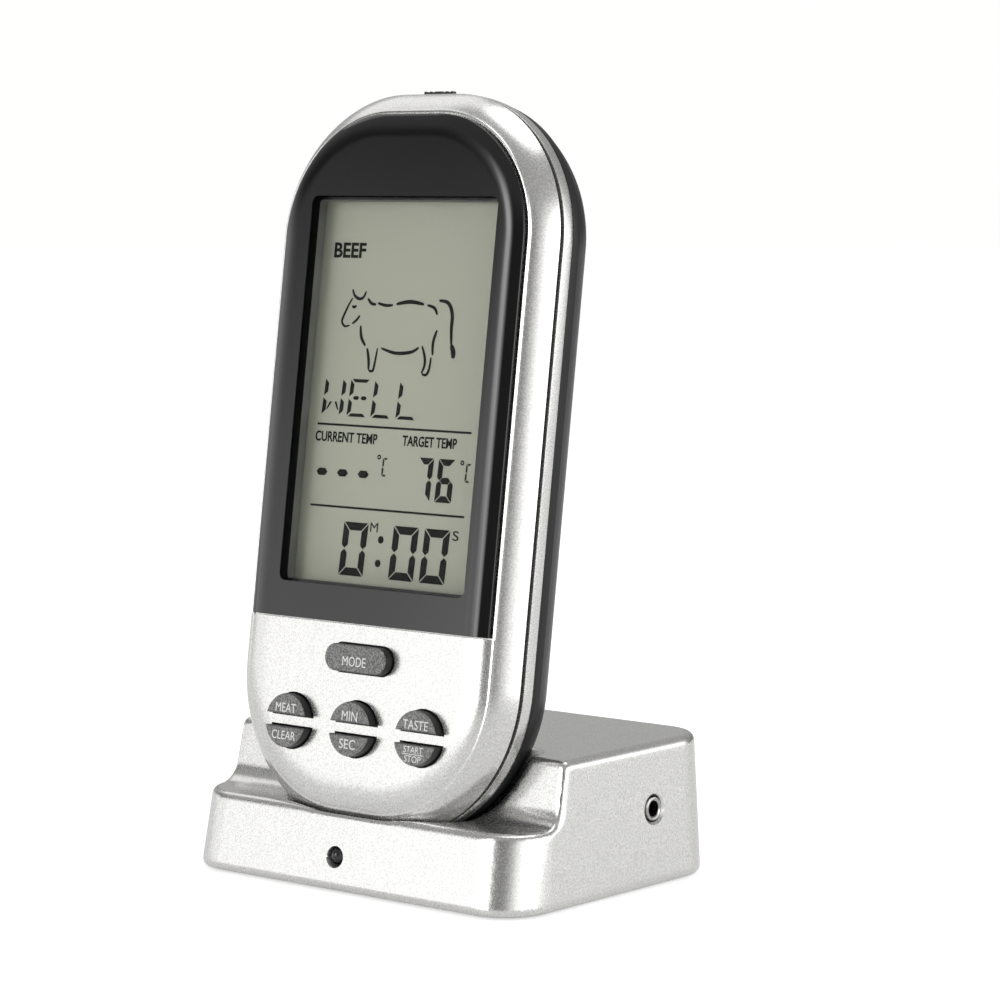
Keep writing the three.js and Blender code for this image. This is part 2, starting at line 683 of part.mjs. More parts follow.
function dock() {
  const group = new THREE.Group();
  const cells = cellPair('dock');
  cells.rotation.z = Math.PI / 2;
  cells.position.set(BAY.length / 2, DOCK_CELL_MIDDLE, DOCK_CELL_HEIGHT);
  const screws = DOCK_SCREWS.map(([x, y], i) => {
    const one = screw(`dock_screw_${i + 1}`, 1.95, 1, 0.85, 7.5);
    one.position.set(x, y, DOCK_SCREW_SEAT);
    return one;
  });
  const feet = FEET.map(([x, y], i) => {
    const { radius, height, edge } = FOOT;
    const profile = [[0, 0], [radius - edge, 0], [radius, edge], [radius, height], [0, height]];
    return part(`rubber_foot_${i + 1}`, turned(profile).translate(x, y, 0), RUBBER);
  });
  group.add(
    dockShell(),
    dockCover(),
    dockDoor(),
    ...dockSwitch(),
    ...dockBoard(),
    ...probeJack(),
    signalLight(),
    cells,
    ...screws,
    ...feet,
  );
  return group;
}

const thermometer = new THREE.Group();
thermometer.add(dock(), receiver());

export default thermometer;
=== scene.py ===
"""Looks of a wireless meat thermometer: a handheld receiver that leans in its transmitter dock.

The sizes and colours that a user would change are in the property groups, each piece has its operator, and
main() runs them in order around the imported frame. Shapes are drawn in millimetres and stored in metres."""
import json
import math

import bmesh
import bpy
import numpy as np
from bpy.props import FloatProperty, FloatVectorProperty, IntProperty, PointerProperty
from mathutils import Matrix, Vector


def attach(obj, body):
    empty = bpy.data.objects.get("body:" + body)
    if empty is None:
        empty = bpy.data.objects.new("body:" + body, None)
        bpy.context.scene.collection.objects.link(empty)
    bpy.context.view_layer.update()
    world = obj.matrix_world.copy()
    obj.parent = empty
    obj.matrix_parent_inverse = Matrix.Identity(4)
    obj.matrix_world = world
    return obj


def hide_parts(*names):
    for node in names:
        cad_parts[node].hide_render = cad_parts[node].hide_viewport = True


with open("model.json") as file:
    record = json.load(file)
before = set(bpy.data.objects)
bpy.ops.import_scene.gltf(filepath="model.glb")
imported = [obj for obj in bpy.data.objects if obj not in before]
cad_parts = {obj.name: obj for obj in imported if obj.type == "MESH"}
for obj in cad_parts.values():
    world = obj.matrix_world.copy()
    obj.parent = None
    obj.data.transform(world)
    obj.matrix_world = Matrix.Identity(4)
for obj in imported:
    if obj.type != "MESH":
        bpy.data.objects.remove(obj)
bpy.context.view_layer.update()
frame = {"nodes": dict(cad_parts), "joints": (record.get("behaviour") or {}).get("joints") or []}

bl_info = {
    "name": "Wireless Meat Thermometer",
    "version": (1, 0, 0),
    "blender": (4, 5, 0),
    "location": "View3D > Sidebar > Thermometer",
    "description": "Builds a cooking thermometer's receiver and dock around a fixed frame",
    "category": "Add Mesh",
}

MM = 0.001
LIFT = Vector(next(j["axis"] for j in frame["joints"] if j["name"] == "receiver_lift"))
LEAN = math.atan2(LIFT.y, LIFT.z)
PLACE = Vector((0, -28.31, 15.02)) * MM
RECEIVER = Matrix.Translation(PLACE) @ Matrix.Rotation(math.pi / 2 - LEAN, 4, "X")

# Beyond the receiver's sides and top, for the bodies that cut it.
FAR, ABOVE = 40, 140

# Profiles of the receiver's mouldings: (height from the face, inset from the seam's outline).
BAND_PROFILE = [
    (-9.9, 0.35), (-9.85, 0.16), (-9.7, 0.06), (-9.2, 0.0), (-8.4, -0.04), (-7.6, -0.04), (-7.3, -0.01),
    (-7.24, 0.06), (-7.22, 0.35),
]
BACK_PROFILE = [
    (-20.0, 9.4), (-19.97, 8.4), (-19.85, 7.3), (-19.6, 6.2), (-19.2, 5.2), (-18.6, 4.3), (-17.8, 3.45),
    (-16.8, 2.7), (-15.7, 2.05), (-14.6, 1.5), (-13.5, 1.08), (-12.75, 0.84), (-12.6, 0.72),
    (-12.48, 0.52), (-12.2, 0.44), (-11.4, 0.36), (-10.6, 0.3), (-10.32, 0.36), (-10.2, 0.5),
]
LIP_PROFILE = [
    (-2.6, 3.46), (-2.25, 3.46), (-2.08, 3.5), (-1.97, 3.57), (-1.93, 3.66), (-1.97, 3.75), (-2.06, 3.82),
    (-2.2, 3.87), (-2.6, 3.93),
]

# Profiles of turned bodies: (radius, distance along the axis).
UNIT_BUTTON_PROFILE = [
    (0, -20.45), (1.55, -20.45), (1.75, -20.4), (1.9, -20.28), (1.95, -20.1), (1.95, -17.7), (2.8, -17.7),
    (2.8, -17.1), (1.2, -17.1), (1.2, -11.7), (0, -11.7),
]
JACK_RING_PROFILE = [
    (1.4, 38.4), (2.2, 38.4), (2.2, 40.45), (2.12, 40.62), (1.95, 40.7), (1.7, 40.66), (1.47, 40.45),
    (1.4, 40.1), (1.4, 38.4),
]
JACK_HOLE_PROFILE = [(0, 30), (2.55, 30), (2.55, 40.3), (3.0, 40.75), (3.0, 43), (0, 43)]
LIGHT_HOLE_PROFILE = [(0, 22), (1.85, 22), (1.85, 28.4), (2.1, 28.8), (2.3, 31), (0, 31)]

# Places on the receiver's back, across and up, and the battery bay's half width, bottom and top.
SCREW_PLACES = ((-22, 35.3), (22, 35.3), (-16, 120.5), (16, 120.5))
UNIT_BUTTON = (12, 108)
BUZZER = (-12, 108)
SOUND_HOLES = (
    (0, 0), (2.6, 0), (-2.6, 0), (0, 2.6), (0, -2.6), (1.84, 1.84), (-1.84, 1.84), (1.84, -1.84),
    (-1.84, -1.84),
)
BAY = (11.2, 46.0, 97.0)
DOOR_BED = -18.6

# Places on the dock: the socket's depth and height, and the signal light's place across and height.
JACK = (10.6, 14.7)
LIGHT = (-2.4, 6.7)

# The front: the window's corner radius, the alpha of its clear acrylic, the heights of the display's
# segments, the places of its ruled lines, dashes and degree signs, and the top of the buttons.
WINDOW_CORNER = 1.5
CLEAR_ALPHA = 0.035
DISPLAY_LOW, DISPLAY_HIGH = -4.89, -4.86
RULES = (70.35, 55.2)
DASHES = (-17.9, -12.7, -7.5)
DEGREES = (-3.9, 16.35)
BUTTON_TOP = 1.2


# ---------------------------------------------------------------- sizes and colours


def millimetres(name, description, default):
    return FloatProperty(name=name, description=description, default=default, min=0, unit="NONE")


def colour(name, description, default):
    return FloatVectorProperty(
        name=name, description=description, subtype="COLOR", size=3, min=0, max=1, default=default
    )


class ThermometerCase(bpy.types.PropertyGroup):
    """Sizes of the receiver's case, in millimetres."""

    half: millimetres("Half width", "From the middle to the side seam", 33.43)
    low: FloatProperty(name="Bottom", description="Lowest point of the seam", default=-3.56)
    high: millimetres("Top", "Highest point of the seam", 131.96)
    low_radius: millimetres("Bottom corners", "Radius of the two bottom corners", 28.6)
    high_radius: millimetres("Top corners", "Radius of the two top corners", 27.2)
    lens_low: millimetres("Lens bottom", "Height of the lens's straight lower edge", 34.2)
    window_half: millimetres("Window half width", "From the middle to the side of the window", 22.8)
    window_low: millimetres("Window bottom", "Lower edge of the window", 40.8)
    window_high: millimetres("Window top", "Upper edge of the window", 112.4)
    steps: IntProperty(name="Corner steps", description="Edges in a quarter turn", default=28, min=4)


class ThermometerDock(bpy.types.PropertyGroup):
    """Sizes of the dock, in millimetres."""

    width: millimetres("Width", "Across the foot", 82.5)
    depth: millimetres("Depth", "From front to rear at the foot", 60.0)
    height: millimetres("Height", "Top of the block", 26.7)
    step: millimetres("Step height", "Top of the front step", 14.9)
    corner: millimetres("Corners", "Radius of the four upright corners", 9.5)
    pitch: millimetres("Mesh pitch", "Distance between the points of the moulding's mesh", 0.6)


class ThermometerColours(bpy.types.PropertyGroup):
    """Colours of the finishes."""

    silver: colour("Silver", "Metallic paint of the housings", (0.66, 0.655, 0.645))
    dark: colour("Dark shell", "Back cover and bottom cover", (0.013, 0.0133, 0.014))
    buttons: colour("Buttons", "Tops of the buttons", (0.16, 0.16, 0.158))
    labels: colour("Labels", "Printing on the buttons", (0.78, 0.78, 0.77))
    glass: colour("Display", "Background of the display", (0.425, 0.441, 0.353))
    segments: colour("Segments", "Dark segments of the display", (0.012, 0.013, 0.012))


# ---------------------------------------------------------------- outlines and meshes


def rounded_outline(half, low, high, low_radius, high_radius, steps):
    """Corner points of an upright shape with rounded corners, anticlockwise from its lower right."""
    corners = (
        (half - low_radius, low + low_radius, low_radius, -90),
        (half - high_radius, high - high_radius, high_radius, 0),
        (high_radius - half, high - high_radius, high_radius, 90),
        (low_radius - half, low + low_radius, low_radius, 180),
    )
    points = []
    for x, y, radius, start in corners:
        for i in range(steps + 1):
            angle = math.radians(start + 90 * i / steps)
            points.append((x + radius * math.cos(angle), y + radius * math.sin(angle)))
    return points


def case_outline(inset):
    """The receiver's case seen from the front, moved in by a distance all round."""
    case = bpy.context.scene.thermometer_case
    return rounded_outline(
        case.half - inset,
        case.low + inset,
        case.high - inset,
        case.low_radius - inset,
        case.high_radius - inset,
        case.steps,
    )


def window_outline(grow):
    case = bpy.context.scene.thermometer_case
    corner = WINDOW_CORNER + grow
    return rounded_outline(
        case.window_half + grow, case.window_low - grow, case.window_high + grow, corner, corner, 8
    )


def circle(radius, x=0.0, y=0.0, count=48):
    turns = [2 * math.pi * i / count for i in range(count)]
    return [(x + radius * math.cos(a), y + radius * math.sin(a)) for a in turns]


def rectangle(left, low, right, high):
    return [(left, low), (right, low), (right, high), (left, high)]


def moved(outline, x, y):
    return [(a + x, b + y) for a, b in outline]


def new_piece(name, mesh, place=None):
    piece = bpy.data.objects.new(name, mesh)
    bpy.context.scene.collection.objects.link(piece)
    if place is not None:
        piece.matrix_world = place
    return piece


def receiver_piece(mesh):
    """A piece in the receiver's own coordinates, named like its mesh."""
    return new_piece(mesh.name, mesh, RECEIVER)


def mesh_from(name, points, faces):
    """A mesh in metres from points in millimetres."""
    mesh = bpy.data.meshes.new(name)
    mesh.from_pydata([tuple(c * MM for c in p) for p in points], [], faces)
    mesh.update()
    return mesh


def loft(name, sections):
    """A closed mesh through outlines of as many points each, given as (height, outline) upwards."""
    count = len(sections[0][1])
    points = [(x, y, height) for height, outline in sections for x, y in outline]
    faces = [tuple(reversed(range(count)))]
    for ring in range(len(sections) - 1):
        base = ring * count
        for i in range(count):
            j = (i + 1) % count
            faces.append((base + i, base + j, base + count + j, base + count + i))
    top = (len(sections) - 1) * count
    faces.append(tuple(range(top, top + count)))
    return mesh_from(name, points, faces)


def slab(name, outline, low, high):
    return loft(name, [(low, outline), (high, outline)])


def plates(name, outlines, low, high):
    """One mesh of thin closed plates."""
    points, faces = [], []
    for outline in outlines:
        start, count = len(points), len(outline)
        points += [(x, y, low) for x, y in outline] + [(x, y, high) for x, y in outline]
        faces.append(tuple(start + i for i in reversed(range(count))))
        faces.append(tuple(start + count + i for i in range(count)))
        for i in range(count):
            j = (i + 1) % count
            faces.append((start + i, start + j, start + count + j, start + count + i))
    return mesh_from(name, points, faces)


def turned(name, profile, count=64):
    """A body turned about z from (radius, height) pairs that start and end on the axis or close up."""
    closed = profile[0] == profile[-1]
    ring_of = []
    points, faces = [], []
    for radius, height in profile[:-1] if closed else profile:
        ring = [len(points) + i for i in range(1 if radius == 0 else count)]
        points += [(x, y, height) for x, y in circle(radius, count=len(ring))]
        ring_of.append(ring)
    if closed:
        ring_of.append(ring_of[0])
    for a, b in zip(ring_of, ring_of[1:]):
        for i in range(count):
            j = (i + 1) % count
            quad = [a[i % len(a)], a[j % len(a)], b[j % len(b)], b[i % len(b)]]
            faces.append(tuple(dict.fromkeys(quad)))
    return mesh_from(name, points, faces)


def finish_mesh(piece, bevel=0.0, angle=35.0, segments=2):
    """Rounds a piece's sharp edges by bevel millimetres, and shades it smooth but for the sharp ones."""
    if bevel:
        edge = piece.modifiers.new("edges", "BEVEL")
        edge.width = bevel * MM
        edge.segments = segments
        edge.limit_method = "ANGLE"
        edge.angle_limit = math.radians(angle)
        edge.use_clamp_overlap = True
    apply_modifiers(piece)
    mesh = piece.data
    mesh.polygons.foreach_set("use_smooth", [True] * len(mesh.polygons))
    mesh.set_sharp_from_angle(angle=math.radians(angle))
    weighted = piece.modifiers.new("normals", "WEIGHTED_NORMAL")
    weighted.keep_sharp = True
    weighted.weight = 100
    apply_modifiers(piece)


def apply_modifiers(piece):
    bpy.context.view_layer.update()
    graph = bpy.context.evaluated_depsgraph_get()
    mesh = bpy.data.meshes.new_from_object(piece.evaluated_get(graph))
    old = piece.data
    piece.modifiers.clear()
    piece.data = mesh
    bpy.data.meshes.remove(old)


def carve(piece, cutters, operation="DIFFERENCE"):
    """Cuts each mesh in cutters from a piece, or keeps or adds it, in the piece's own coordinates."""
    for mesh in cutters:
        tool = new_piece("cutter", mesh, piece.matrix_world.copy())
        boolean = piece.modifiers.new("cut", "BOOLEAN")
        boolean.operation = operation
        boolean.solver = "EXACT"
        boolean.object = tool
        apply_modifiers(piece)
        bpy.data.objects.remove(tool)
        bpy.data.meshes.remove(mesh)


def settle(piece, body, slot, *nodes, materials=()):
    """Puts a piece on its body, gives it its finish and lets it stand for its nodes of the frame."""
    for material in materials:
        piece.data.materials.append(material)
    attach(piece, body)
    if nodes:
        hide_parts(*nodes)


def paint_faces(piece, second):
    """Gives the second material to the faces for which second(face) is true, and the first to the rest."""
    for face in piece.data.polygons:
        face.material_index = int(second(face))


# ---------------------------------------------------------------- the dock's moulding as a field


# How far each wall leans in for a millimetre of height, and the front's scale back to a distance.
SIDE_LEAN, FRONT_LEAN, REAR_LEAN = 0.04, 0.19, 0.02
FRONT_SCALE = 0.982
BLOCK_EDGE = 1.5
# The wall behind the step: its foot, its lean, the hollow corner at its foot and the step's outer edge.
STEP_WALL_FOOT = -16.46
STEP_WALL_LEAN = math.radians(12.2)
STEP_CORNER, STEP_EDGE = 3.2, 1.1
# The receiver's seat: its play, the bevel at its mouth and the depth of its floor.
SEAT_PLAY = 0.5
BEVEL_ACROSS, BEVEL_OUT = 0.746, 0.666
BEVEL_DEPTH, BEVEL_CUT, BEVEL_CORNER = 6.2, 0.35, 2.0
SEAT_DEPTH, SEAT_CORNER, SEAT_EDGE = 20.7, 9.0, 0.9
FOOT_LOW, FOOT_EDGE = 0.4, 1.4
DOCK_WALL = 2.0


def round_max(a, b, radius):
    """The larger of two distances, with a round edge of that radius where they meet."""
    reach = np.hypot(np.maximum(a + radius, 0), np.maximum(b + radius, 0))
    return np.minimum(np.maximum(a, b), -radius) + reach


def dock_field(points, bottom=True):
    """Signed distance from the dock's outer surface, negative inside."""
    dock = bpy.context.scene.thermometer_dock
    case = bpy.context.scene.thermometer_case
    x, y, z = points[..., 0], points[..., 1], points[..., 2]
    side = np.abs(x) - (dock.width / 2 - SIDE_LEAN * z)
    front = (-dock.depth / 2 + FRONT_LEAN * z - y) * FRONT_SCALE
    rear = y - (dock.depth / 2 - REAR_LEAN * z)
    walls = np.maximum(round_max(side, front, dock.corner), round_max(side, rear, dock.corner))
    body = round_max(walls, z - dock.height, BLOCK_EDGE)
    wall = y - STEP_WALL_FOOT - (z - dock.step) * math.tan(STEP_WALL_LEAN)
    wall = wall * math.cos(STEP_WALL_LEAN)
    step = round_max(dock.step - z, wall, STEP_CORNER)
    body = round_max(body, -step, STEP_EDGE)
    v = (y - PLACE.y / MM) * math.sin(LEAN) + (z - PLACE.z / MM) * math.cos(LEAN)
    w = -(y - PLACE.y / MM) * math.cos(LEAN) + (z - PLACE.z / MM) * math.sin(LEAN)
    outline = round_max(np.abs(x) - case.half, case.low - v, case.low_radius)
    bevel = (outline - SEAT_PLAY) * BEVEL_ACROSS + (w + BEVEL_DEPTH) * BEVEL_OUT - BEVEL_CUT
    seat = round_max(outline - SEAT_PLAY, bevel, BEVEL_CORNER)
    seat = round_max(seat, -w - SEAT_DEPTH, SEAT_CORNER)
    body = round_max(body, -seat, SEAT_EDGE)
    if bottom:
        body = round_max(body, FOOT_LOW - z, FOOT_EDGE)
    return body


def hollow_dock(points):
    """The dock's outer surface with a hollow inside, open underneath."""
    return np.maximum(dock_field(points), -(dock_field(points, bottom=False) + DOCK_WALL))


def skin(name, field, low, high, pitch):
    """A mesh over the zero surface of a field, from one point in each grid cell that it passes through."""
    axes = [np.arange(a, b + pitch, pitch) for a, b in zip(low, high)]
    grid = np.stack(np.meshgrid(*axes, indexing="ij"), -1)
    value = field(grid)
    inside = value < 0
    cells = np.array(inside.shape) - 1
    total = np.zeros((*cells, 3))
    count = np.zeros(cells)
    edges = []
    for axis in range(3):
        first = tuple(slice(0, -1) if k == axis else slice(None) for k in range(3))
        second = tuple(slice(1, None) if k == axis else slice(None) for k in range(3))
        crossing = inside[first] != inside[second]
        gap = value[first] - value[second]
        share = np.where(crossing, value[first] / np.where(gap == 0, 1, gap), 0)
        spot = grid[first].copy()
        spot[..., axis] += share * pitch
        edges.append((crossing, inside[first]))
        others = [k for k in range(3) if k != axis]
        for shift in ((0, 0), (0, 1), (1, 0), (1, 1)):
            part = [slice(None)] * 3
            for k, s in zip(others, shift):
                part[k] = slice(s, s + cells[k])
            part = tuple(part)
            total += np.where(crossing[part][..., None], spot[part], 0)
            count += crossing[part]
    used = count > 0
    points = settle_on(field, total[used] / count[used][:, None], pitch)
    index = np.full(cells, -1)
    index[used] = np.arange(len(points))
    quads = []
    for axis, (crossing, start_inside) in enumerate(edges):
        a, b = [k for k in range(3) if k != axis]
        spots = np.argwhere(crossing)
        keep = (spots[:, a] > 0) & (spots[:, a] < cells[a]) & (spots[:, b] > 0) & (spots[:, b] < cells[b])
        spots = spots[keep]
        ring = []
        for da, db in ((-1, -1), (0, -1), (0, 0), (-1, 0)):
            cell = spots.copy()
            cell[:, a] += da
            cell[:, b] += db
            ring.append(index[tuple(cell.T)])
        quad = np.stack(ring, 1)
        outward = start_inside[tuple(spots.T)] != (axis == 1)
        quad[~outward] = quad[~outward][:, ::-1]
        quads.append(quad)
    return mesh_from(name, points.tolist(), np.concatenate(quads).tolist())


def settle_on(field, points, pitch, rounds=4, reach=0.05):
    """Moves points onto the zero surface of a field, by at most about one pitch."""
    start = points.copy()
    for _ in range(rounds):
        slope = np.empty_like(points)
        for k in range(3):
            step = np.zeros(3)
            step[k] = reach
            slope[:, k] = (field(points + step) - field(points - step)) / (2 * reach)
        size = np.maximum((slope**2).sum(1), 0.2)
        points = points - slope * (field(points) / size)[:, None]
        points = start + np.clip(points - start, -pitch, pitch)
    return points


# ---------------------------------------------------------------- materials


class Value:
    """A number in a shader: arithmetic on it adds Math nodes."""

    def __init__(self, nodes, socket):
        self.nodes = nodes
        self.socket = socket

    def math(self, operation, *others):
        return self.nodes.make("ShaderNodeMath", {"operation": operation}, [self, *others])

    def __add__(self, other):
        return self.math("ADD", other)

    def __radd__(self, other):
        return self + other

    def __sub__(self, other):
        return self.math("SUBTRACT", other)

    def __rsub__(self, other):
        return self.nodes.make("ShaderNodeMath", {"operation": "SUBTRACT"}, [other, self])

    def __mul__(self, other):
        return self.math("MULTIPLY", other)

    def __rmul__(self, other):
        return self * other

    def __truediv__(self, other):
        return self.math("DIVIDE", other)

    def __pow__(self, other):
        return self.math("POWER", other)

    def high(self, other):
        return self.math("MAXIMUM", other)

    def between(self, low, high):
        """0 below low, 1 above high and smooth in between."""
        settings = {"interpolation_type": "SMOOTHSTEP"}
        return self.nodes.make("ShaderNodeMapRange", settings, {0: self, 1: low, 2: high})


class Nodes:
    """Adds nodes to a tree and links them."""

    def __init__(self, tree):
        self.tree = tree
        tree.nodes.clear()

    def make(self, kind, settings=None, sockets=(), output=0):
        """A node of that type: its settings are set first, then its sockets, by place or name."""
        node = self.tree.nodes.new(kind)
        for key, value in (settings or {}).items():
            if key == "stops":
                self.stops(node, value)
            else:
                setattr(node, key, value)
        pairs = sockets.items() if isinstance(sockets, dict) else enumerate(sockets)
        for key, value in pairs:
            if isinstance(value, Value):
                self.tree.links.new(value.socket, node.inputs[key])
            elif isinstance(value, (tuple, list)) and node.inputs[key].type == "RGBA" and len(value) == 3:
                node.inputs[key].default_value = (*value, 1)
            else:
                node.inputs[key].default_value = value
        return Value(self, node.outputs[output]) if node.outputs else None

    def stops(self, node, stops):
        elements = node.color_ramp.elements
        while len(elements) < len(stops):
            elements.new(0.5)
        for element, (place, shade) in zip(elements, stops):
            element.position = place
            element.color = (*shade, 1)

    def object_place(self):
        return self.make("ShaderNodeTexCoord", output="Object")

    def noise(self, scale, detail=2.0, roughness=0.5):
        place = self.object_place()
        sockets = {"Vector": place, "Scale": scale, "Detail": detail, "Roughness": roughness}
        return self.make("ShaderNodeTexNoise", None, sockets)

    def blend(self, share, first, second):
        """A colour between two."""
        sockets = {0: share, 6: first, 7: second}
        return self.make("ShaderNodeMix", {"data_type": "RGBA"}, sockets, 2)

    def axis(self, place, index):
        return self.make("ShaderNodeSeparateXYZ", None, [place], index)

    def bump(self, height, distance, strength):
        """A normal from a height between 0 and 1, distance millimetres deep."""
        sockets = {"Height": height, "Distance": distance * MM, "Strength": strength}
        return self.make("ShaderNodeBump", None, sockets)

    def surface(self, **sockets):
        """The material's shader and its output."""
        named = {key.replace("_", " "): value for key, value in sockets.items()}
        shader = self.make("ShaderNodeBsdfPrincipled", None, named)
        self.make("ShaderNodeOutputMaterial", None, {"Surface": shader})


def new_material(name):
    material = bpy.data.materials.new(name)
    material.use_nodes = True
    return material, Nodes(material.node_tree)


def scaled(shade, share):
    return tuple(min(c * share, 1) for c in shade)


def silver_paint():
    """Metallic silver paint: a satin coat over fine flake."""
    material, nodes = new_material("silver_paint")
    silver = bpy.context.scene.thermometer_colours.silver
    flake = nodes.noise(2600, 1.5, 0.6)
    cloud = nodes.noise(160, 2)
    spark = nodes.make("ShaderNodeTexVoronoi", None, {"Vector": nodes.object_place(), "Scale": 3400})
    glint = spark.between(0.32, 0.12)
    grain = nodes.blend(flake.between(0.35, 0.65), scaled(silver, 0.9), scaled(silver, 1.08))
    tone = nodes.blend(glint * 0.4, grain, (0.9, 0.9, 0.89))
    nodes.surface(
        Base_Color=tone,
        Metallic=0.9,
        Roughness=0.2 + 0.09 * flake + 0.04 * cloud,
        Normal=nodes.bump(flake, 0.02, 0.3),
        Coat_Weight=0.12,
        Coat_Roughness=0.25,
    )
    return material


def moulded_plastic(name, shade, roughness, grain=0.015, shine=0.5):
    """Plain moulded plastic with a fine texture from its mould, grain millimetres deep."""
    material, nodes = new_material(name)
    texture = nodes.noise(2400, 2, 0.6)
    patches = nodes.noise(90, 2)
    tone = nodes.blend(patches.between(0.3, 0.7), scaled(shade, 0.85), scaled(shade, 1.15))
    nodes.surface(
        Base_Color=tone,
        Roughness=roughness + 0.12 * texture - 0.06,
        Specular_IOR_Level=shine,
        Normal=nodes.bump(texture, grain, 0.5),
    )
    return material


def button_top():
    """Grey metallic lacquer with a coarse speckle."""
    material, nodes = new_material("button_top")
    shade = bpy.context.scene.thermometer_colours.buttons
    speck = nodes.noise(3600, 1, 0.5)
    spark = nodes.make("ShaderNodeTexVoronoi", None, {"Vector": nodes.object_place(), "Scale": 3800})
    grain = nodes.blend(speck.between(0.38, 0.62), scaled(shade, 0.55), scaled(shade, 1.6))
    tone = nodes.blend(spark.between(0.3, 0.14) * 0.6, grain, scaled(shade, 3.2))
    nodes.surface(
        Base_Color=tone,
        Metallic=0.45,
        Roughness=0.4 + 0.2 * speck,
        Normal=nodes.bump(speck, 0.02, 0.5),
    )
    return material


def lens_gloss():
    """Clear polished acrylic, printed black behind all but the window."""
    material, nodes = new_material("lens_acrylic")
    case = bpy.context.scene.thermometer_case
    place = nodes.object_place()
    shift, trim, softness = 0.9, 0.1, 0.03
    across = (nodes.axis(place, 0) - shift * MM).math("ABSOLUTE")
    up = nodes.axis(place, 1)
    corner = WINDOW_CORNER * MM
    middle = (case.window_low + case.window_high) / 2 * MM
    tall = (case.window_high - case.window_low) / 2 * MM - corner
    wide = (case.window_half - trim) * MM - corner
    side = (across - wide).high(0)
    rise = ((up - middle).math("ABSOLUTE") - tall).high(0)
    distance = (side * side + rise * rise) ** 0.5
    printed = distance.between(corner - softness * MM, corner + softness * MM)
    haze = nodes.noise(60, 3)
    nodes.surface(
        Base_Color=nodes.blend(haze, (0.006, 0.006, 0.0062), (0.009, 0.009, 0.0092)),
        Roughness=0.05 + 0.03 * haze,
        IOR=1.49,
        Alpha=printed * (1 - CLEAR_ALPHA) + CLEAR_ALPHA,
    )
    return material


def display_reflector():
    """Grey-green reflector behind the crystal layer, a little uneven."""
    material, nodes = new_material("display_reflector")
    shade = bpy.context.scene.thermometer_colours.glass
    grain = nodes.noise(5200, 1)
    drift = nodes.noise(26, 1)
    tone = nodes.blend(drift, scaled(shade, 0.97), scaled(shade, 1.04))
    tone = nodes.blend(grain * 0.5, tone, scaled(shade, 1.05))
    nodes.surface(Base_Color=tone, Roughness=0.45 + 0.1 * grain, Normal=nodes.bump(grain, 0.004, 0.2))
    return material


def plain_print(name, shade, roughness=0.5, shine=0.5):
    """A thin printed film with a slightly uneven coat of ink."""
    material, nodes = new_material(name)
    ink = nodes.noise(3000, 2)
    nodes.surface(
        Base_Color=nodes.blend(ink, scaled(shade, 0.88), scaled(shade, 1.08)),
        Roughness=roughness + 0.1 * ink,
        Specular_IOR_Level=shine,
        Normal=nodes.bump(ink, 0.003, 0.3),
    )
    return material


def bare_metal(name, shade, roughness):
    """Plated or drawn metal with fine wear; a brighter copy also serves as a painted highlight on the lens
    lip.
    """
    material, nodes = new_material(name)
    wear = nodes.noise(900, 3)
    nodes.surface(
        Base_Color=nodes.blend(wear, scaled(shade, 0.82), scaled(shade, 1.1)),
        Metallic=1.0,
        Roughness=roughness + 0.15 * wear,
        Normal=nodes.bump(wear, 0.004, 0.3),
    )
    return material


def smoked_resin():
    """Dark polished resin of the signal light."""
    material, nodes = new_material("smoked_resin")
    swirl = nodes.noise(500, 2)
    nodes.surface(
        Base_Color=nodes.blend(swirl, (0.008, 0.008, 0.009), (0.03, 0.03, 0.032)),
        Roughness=0.06 + 0.05 * swirl,
    )
    return material


def circuit_board():
    """Green solder mask over copper tracks."""
    material, nodes = new_material("circuit_board")
    place = nodes.object_place()
    sockets = {"Vector": place, "Scale": 160, "Mortar Size": 0.03}
    tracks = nodes.make("ShaderNodeTexBrick", {"offset": 0.4}, sockets)
    weave = nodes.noise(1500, 2)
    lit = nodes.make("ShaderNodeRGBToBW", None, [tracks])
    tone = nodes.blend(lit, (0.01, 0.11, 0.045), (0.02, 0.2, 0.08))
    nodes.surface(Base_Color=tone, Roughness=0.35 + 0.1 * weave, Normal=nodes.bump(lit, 0.02, 0.4))
    return material


def cell_jacket():
    """Plain two-tone jacket of a dry cell."""
    material, nodes = new_material("cell_jacket")
    scuff = nodes.noise(300, 3)
    nodes.surface(
        Base_Color=nodes.blend(scuff, (0.03, 0.06, 0.1), (0.05, 0.09, 0.14)),
        Metallic=0.5,
        Roughness=0.3 + 0.15 * scuff,
        Normal=nodes.bump(scuff, 0.01, 0.2),
    )
    return material


def layered_rubber():
    """Conductive rubber in thin light and dark layers."""
    material, nodes = new_material("layered_rubber")
    across = nodes.axis(nodes.object_place(), 0)
    layers = (across * 12000).math("SINE").between(-0.2, 0.2)
    tone = nodes.blend(layers, (0.3, 0.16, 0.17), (0.02, 0.02, 0.02))
    nodes.surface(Base_Color=tone, Roughness=0.7 + 0.1 * layers)
    return material


MATERIALS = {}


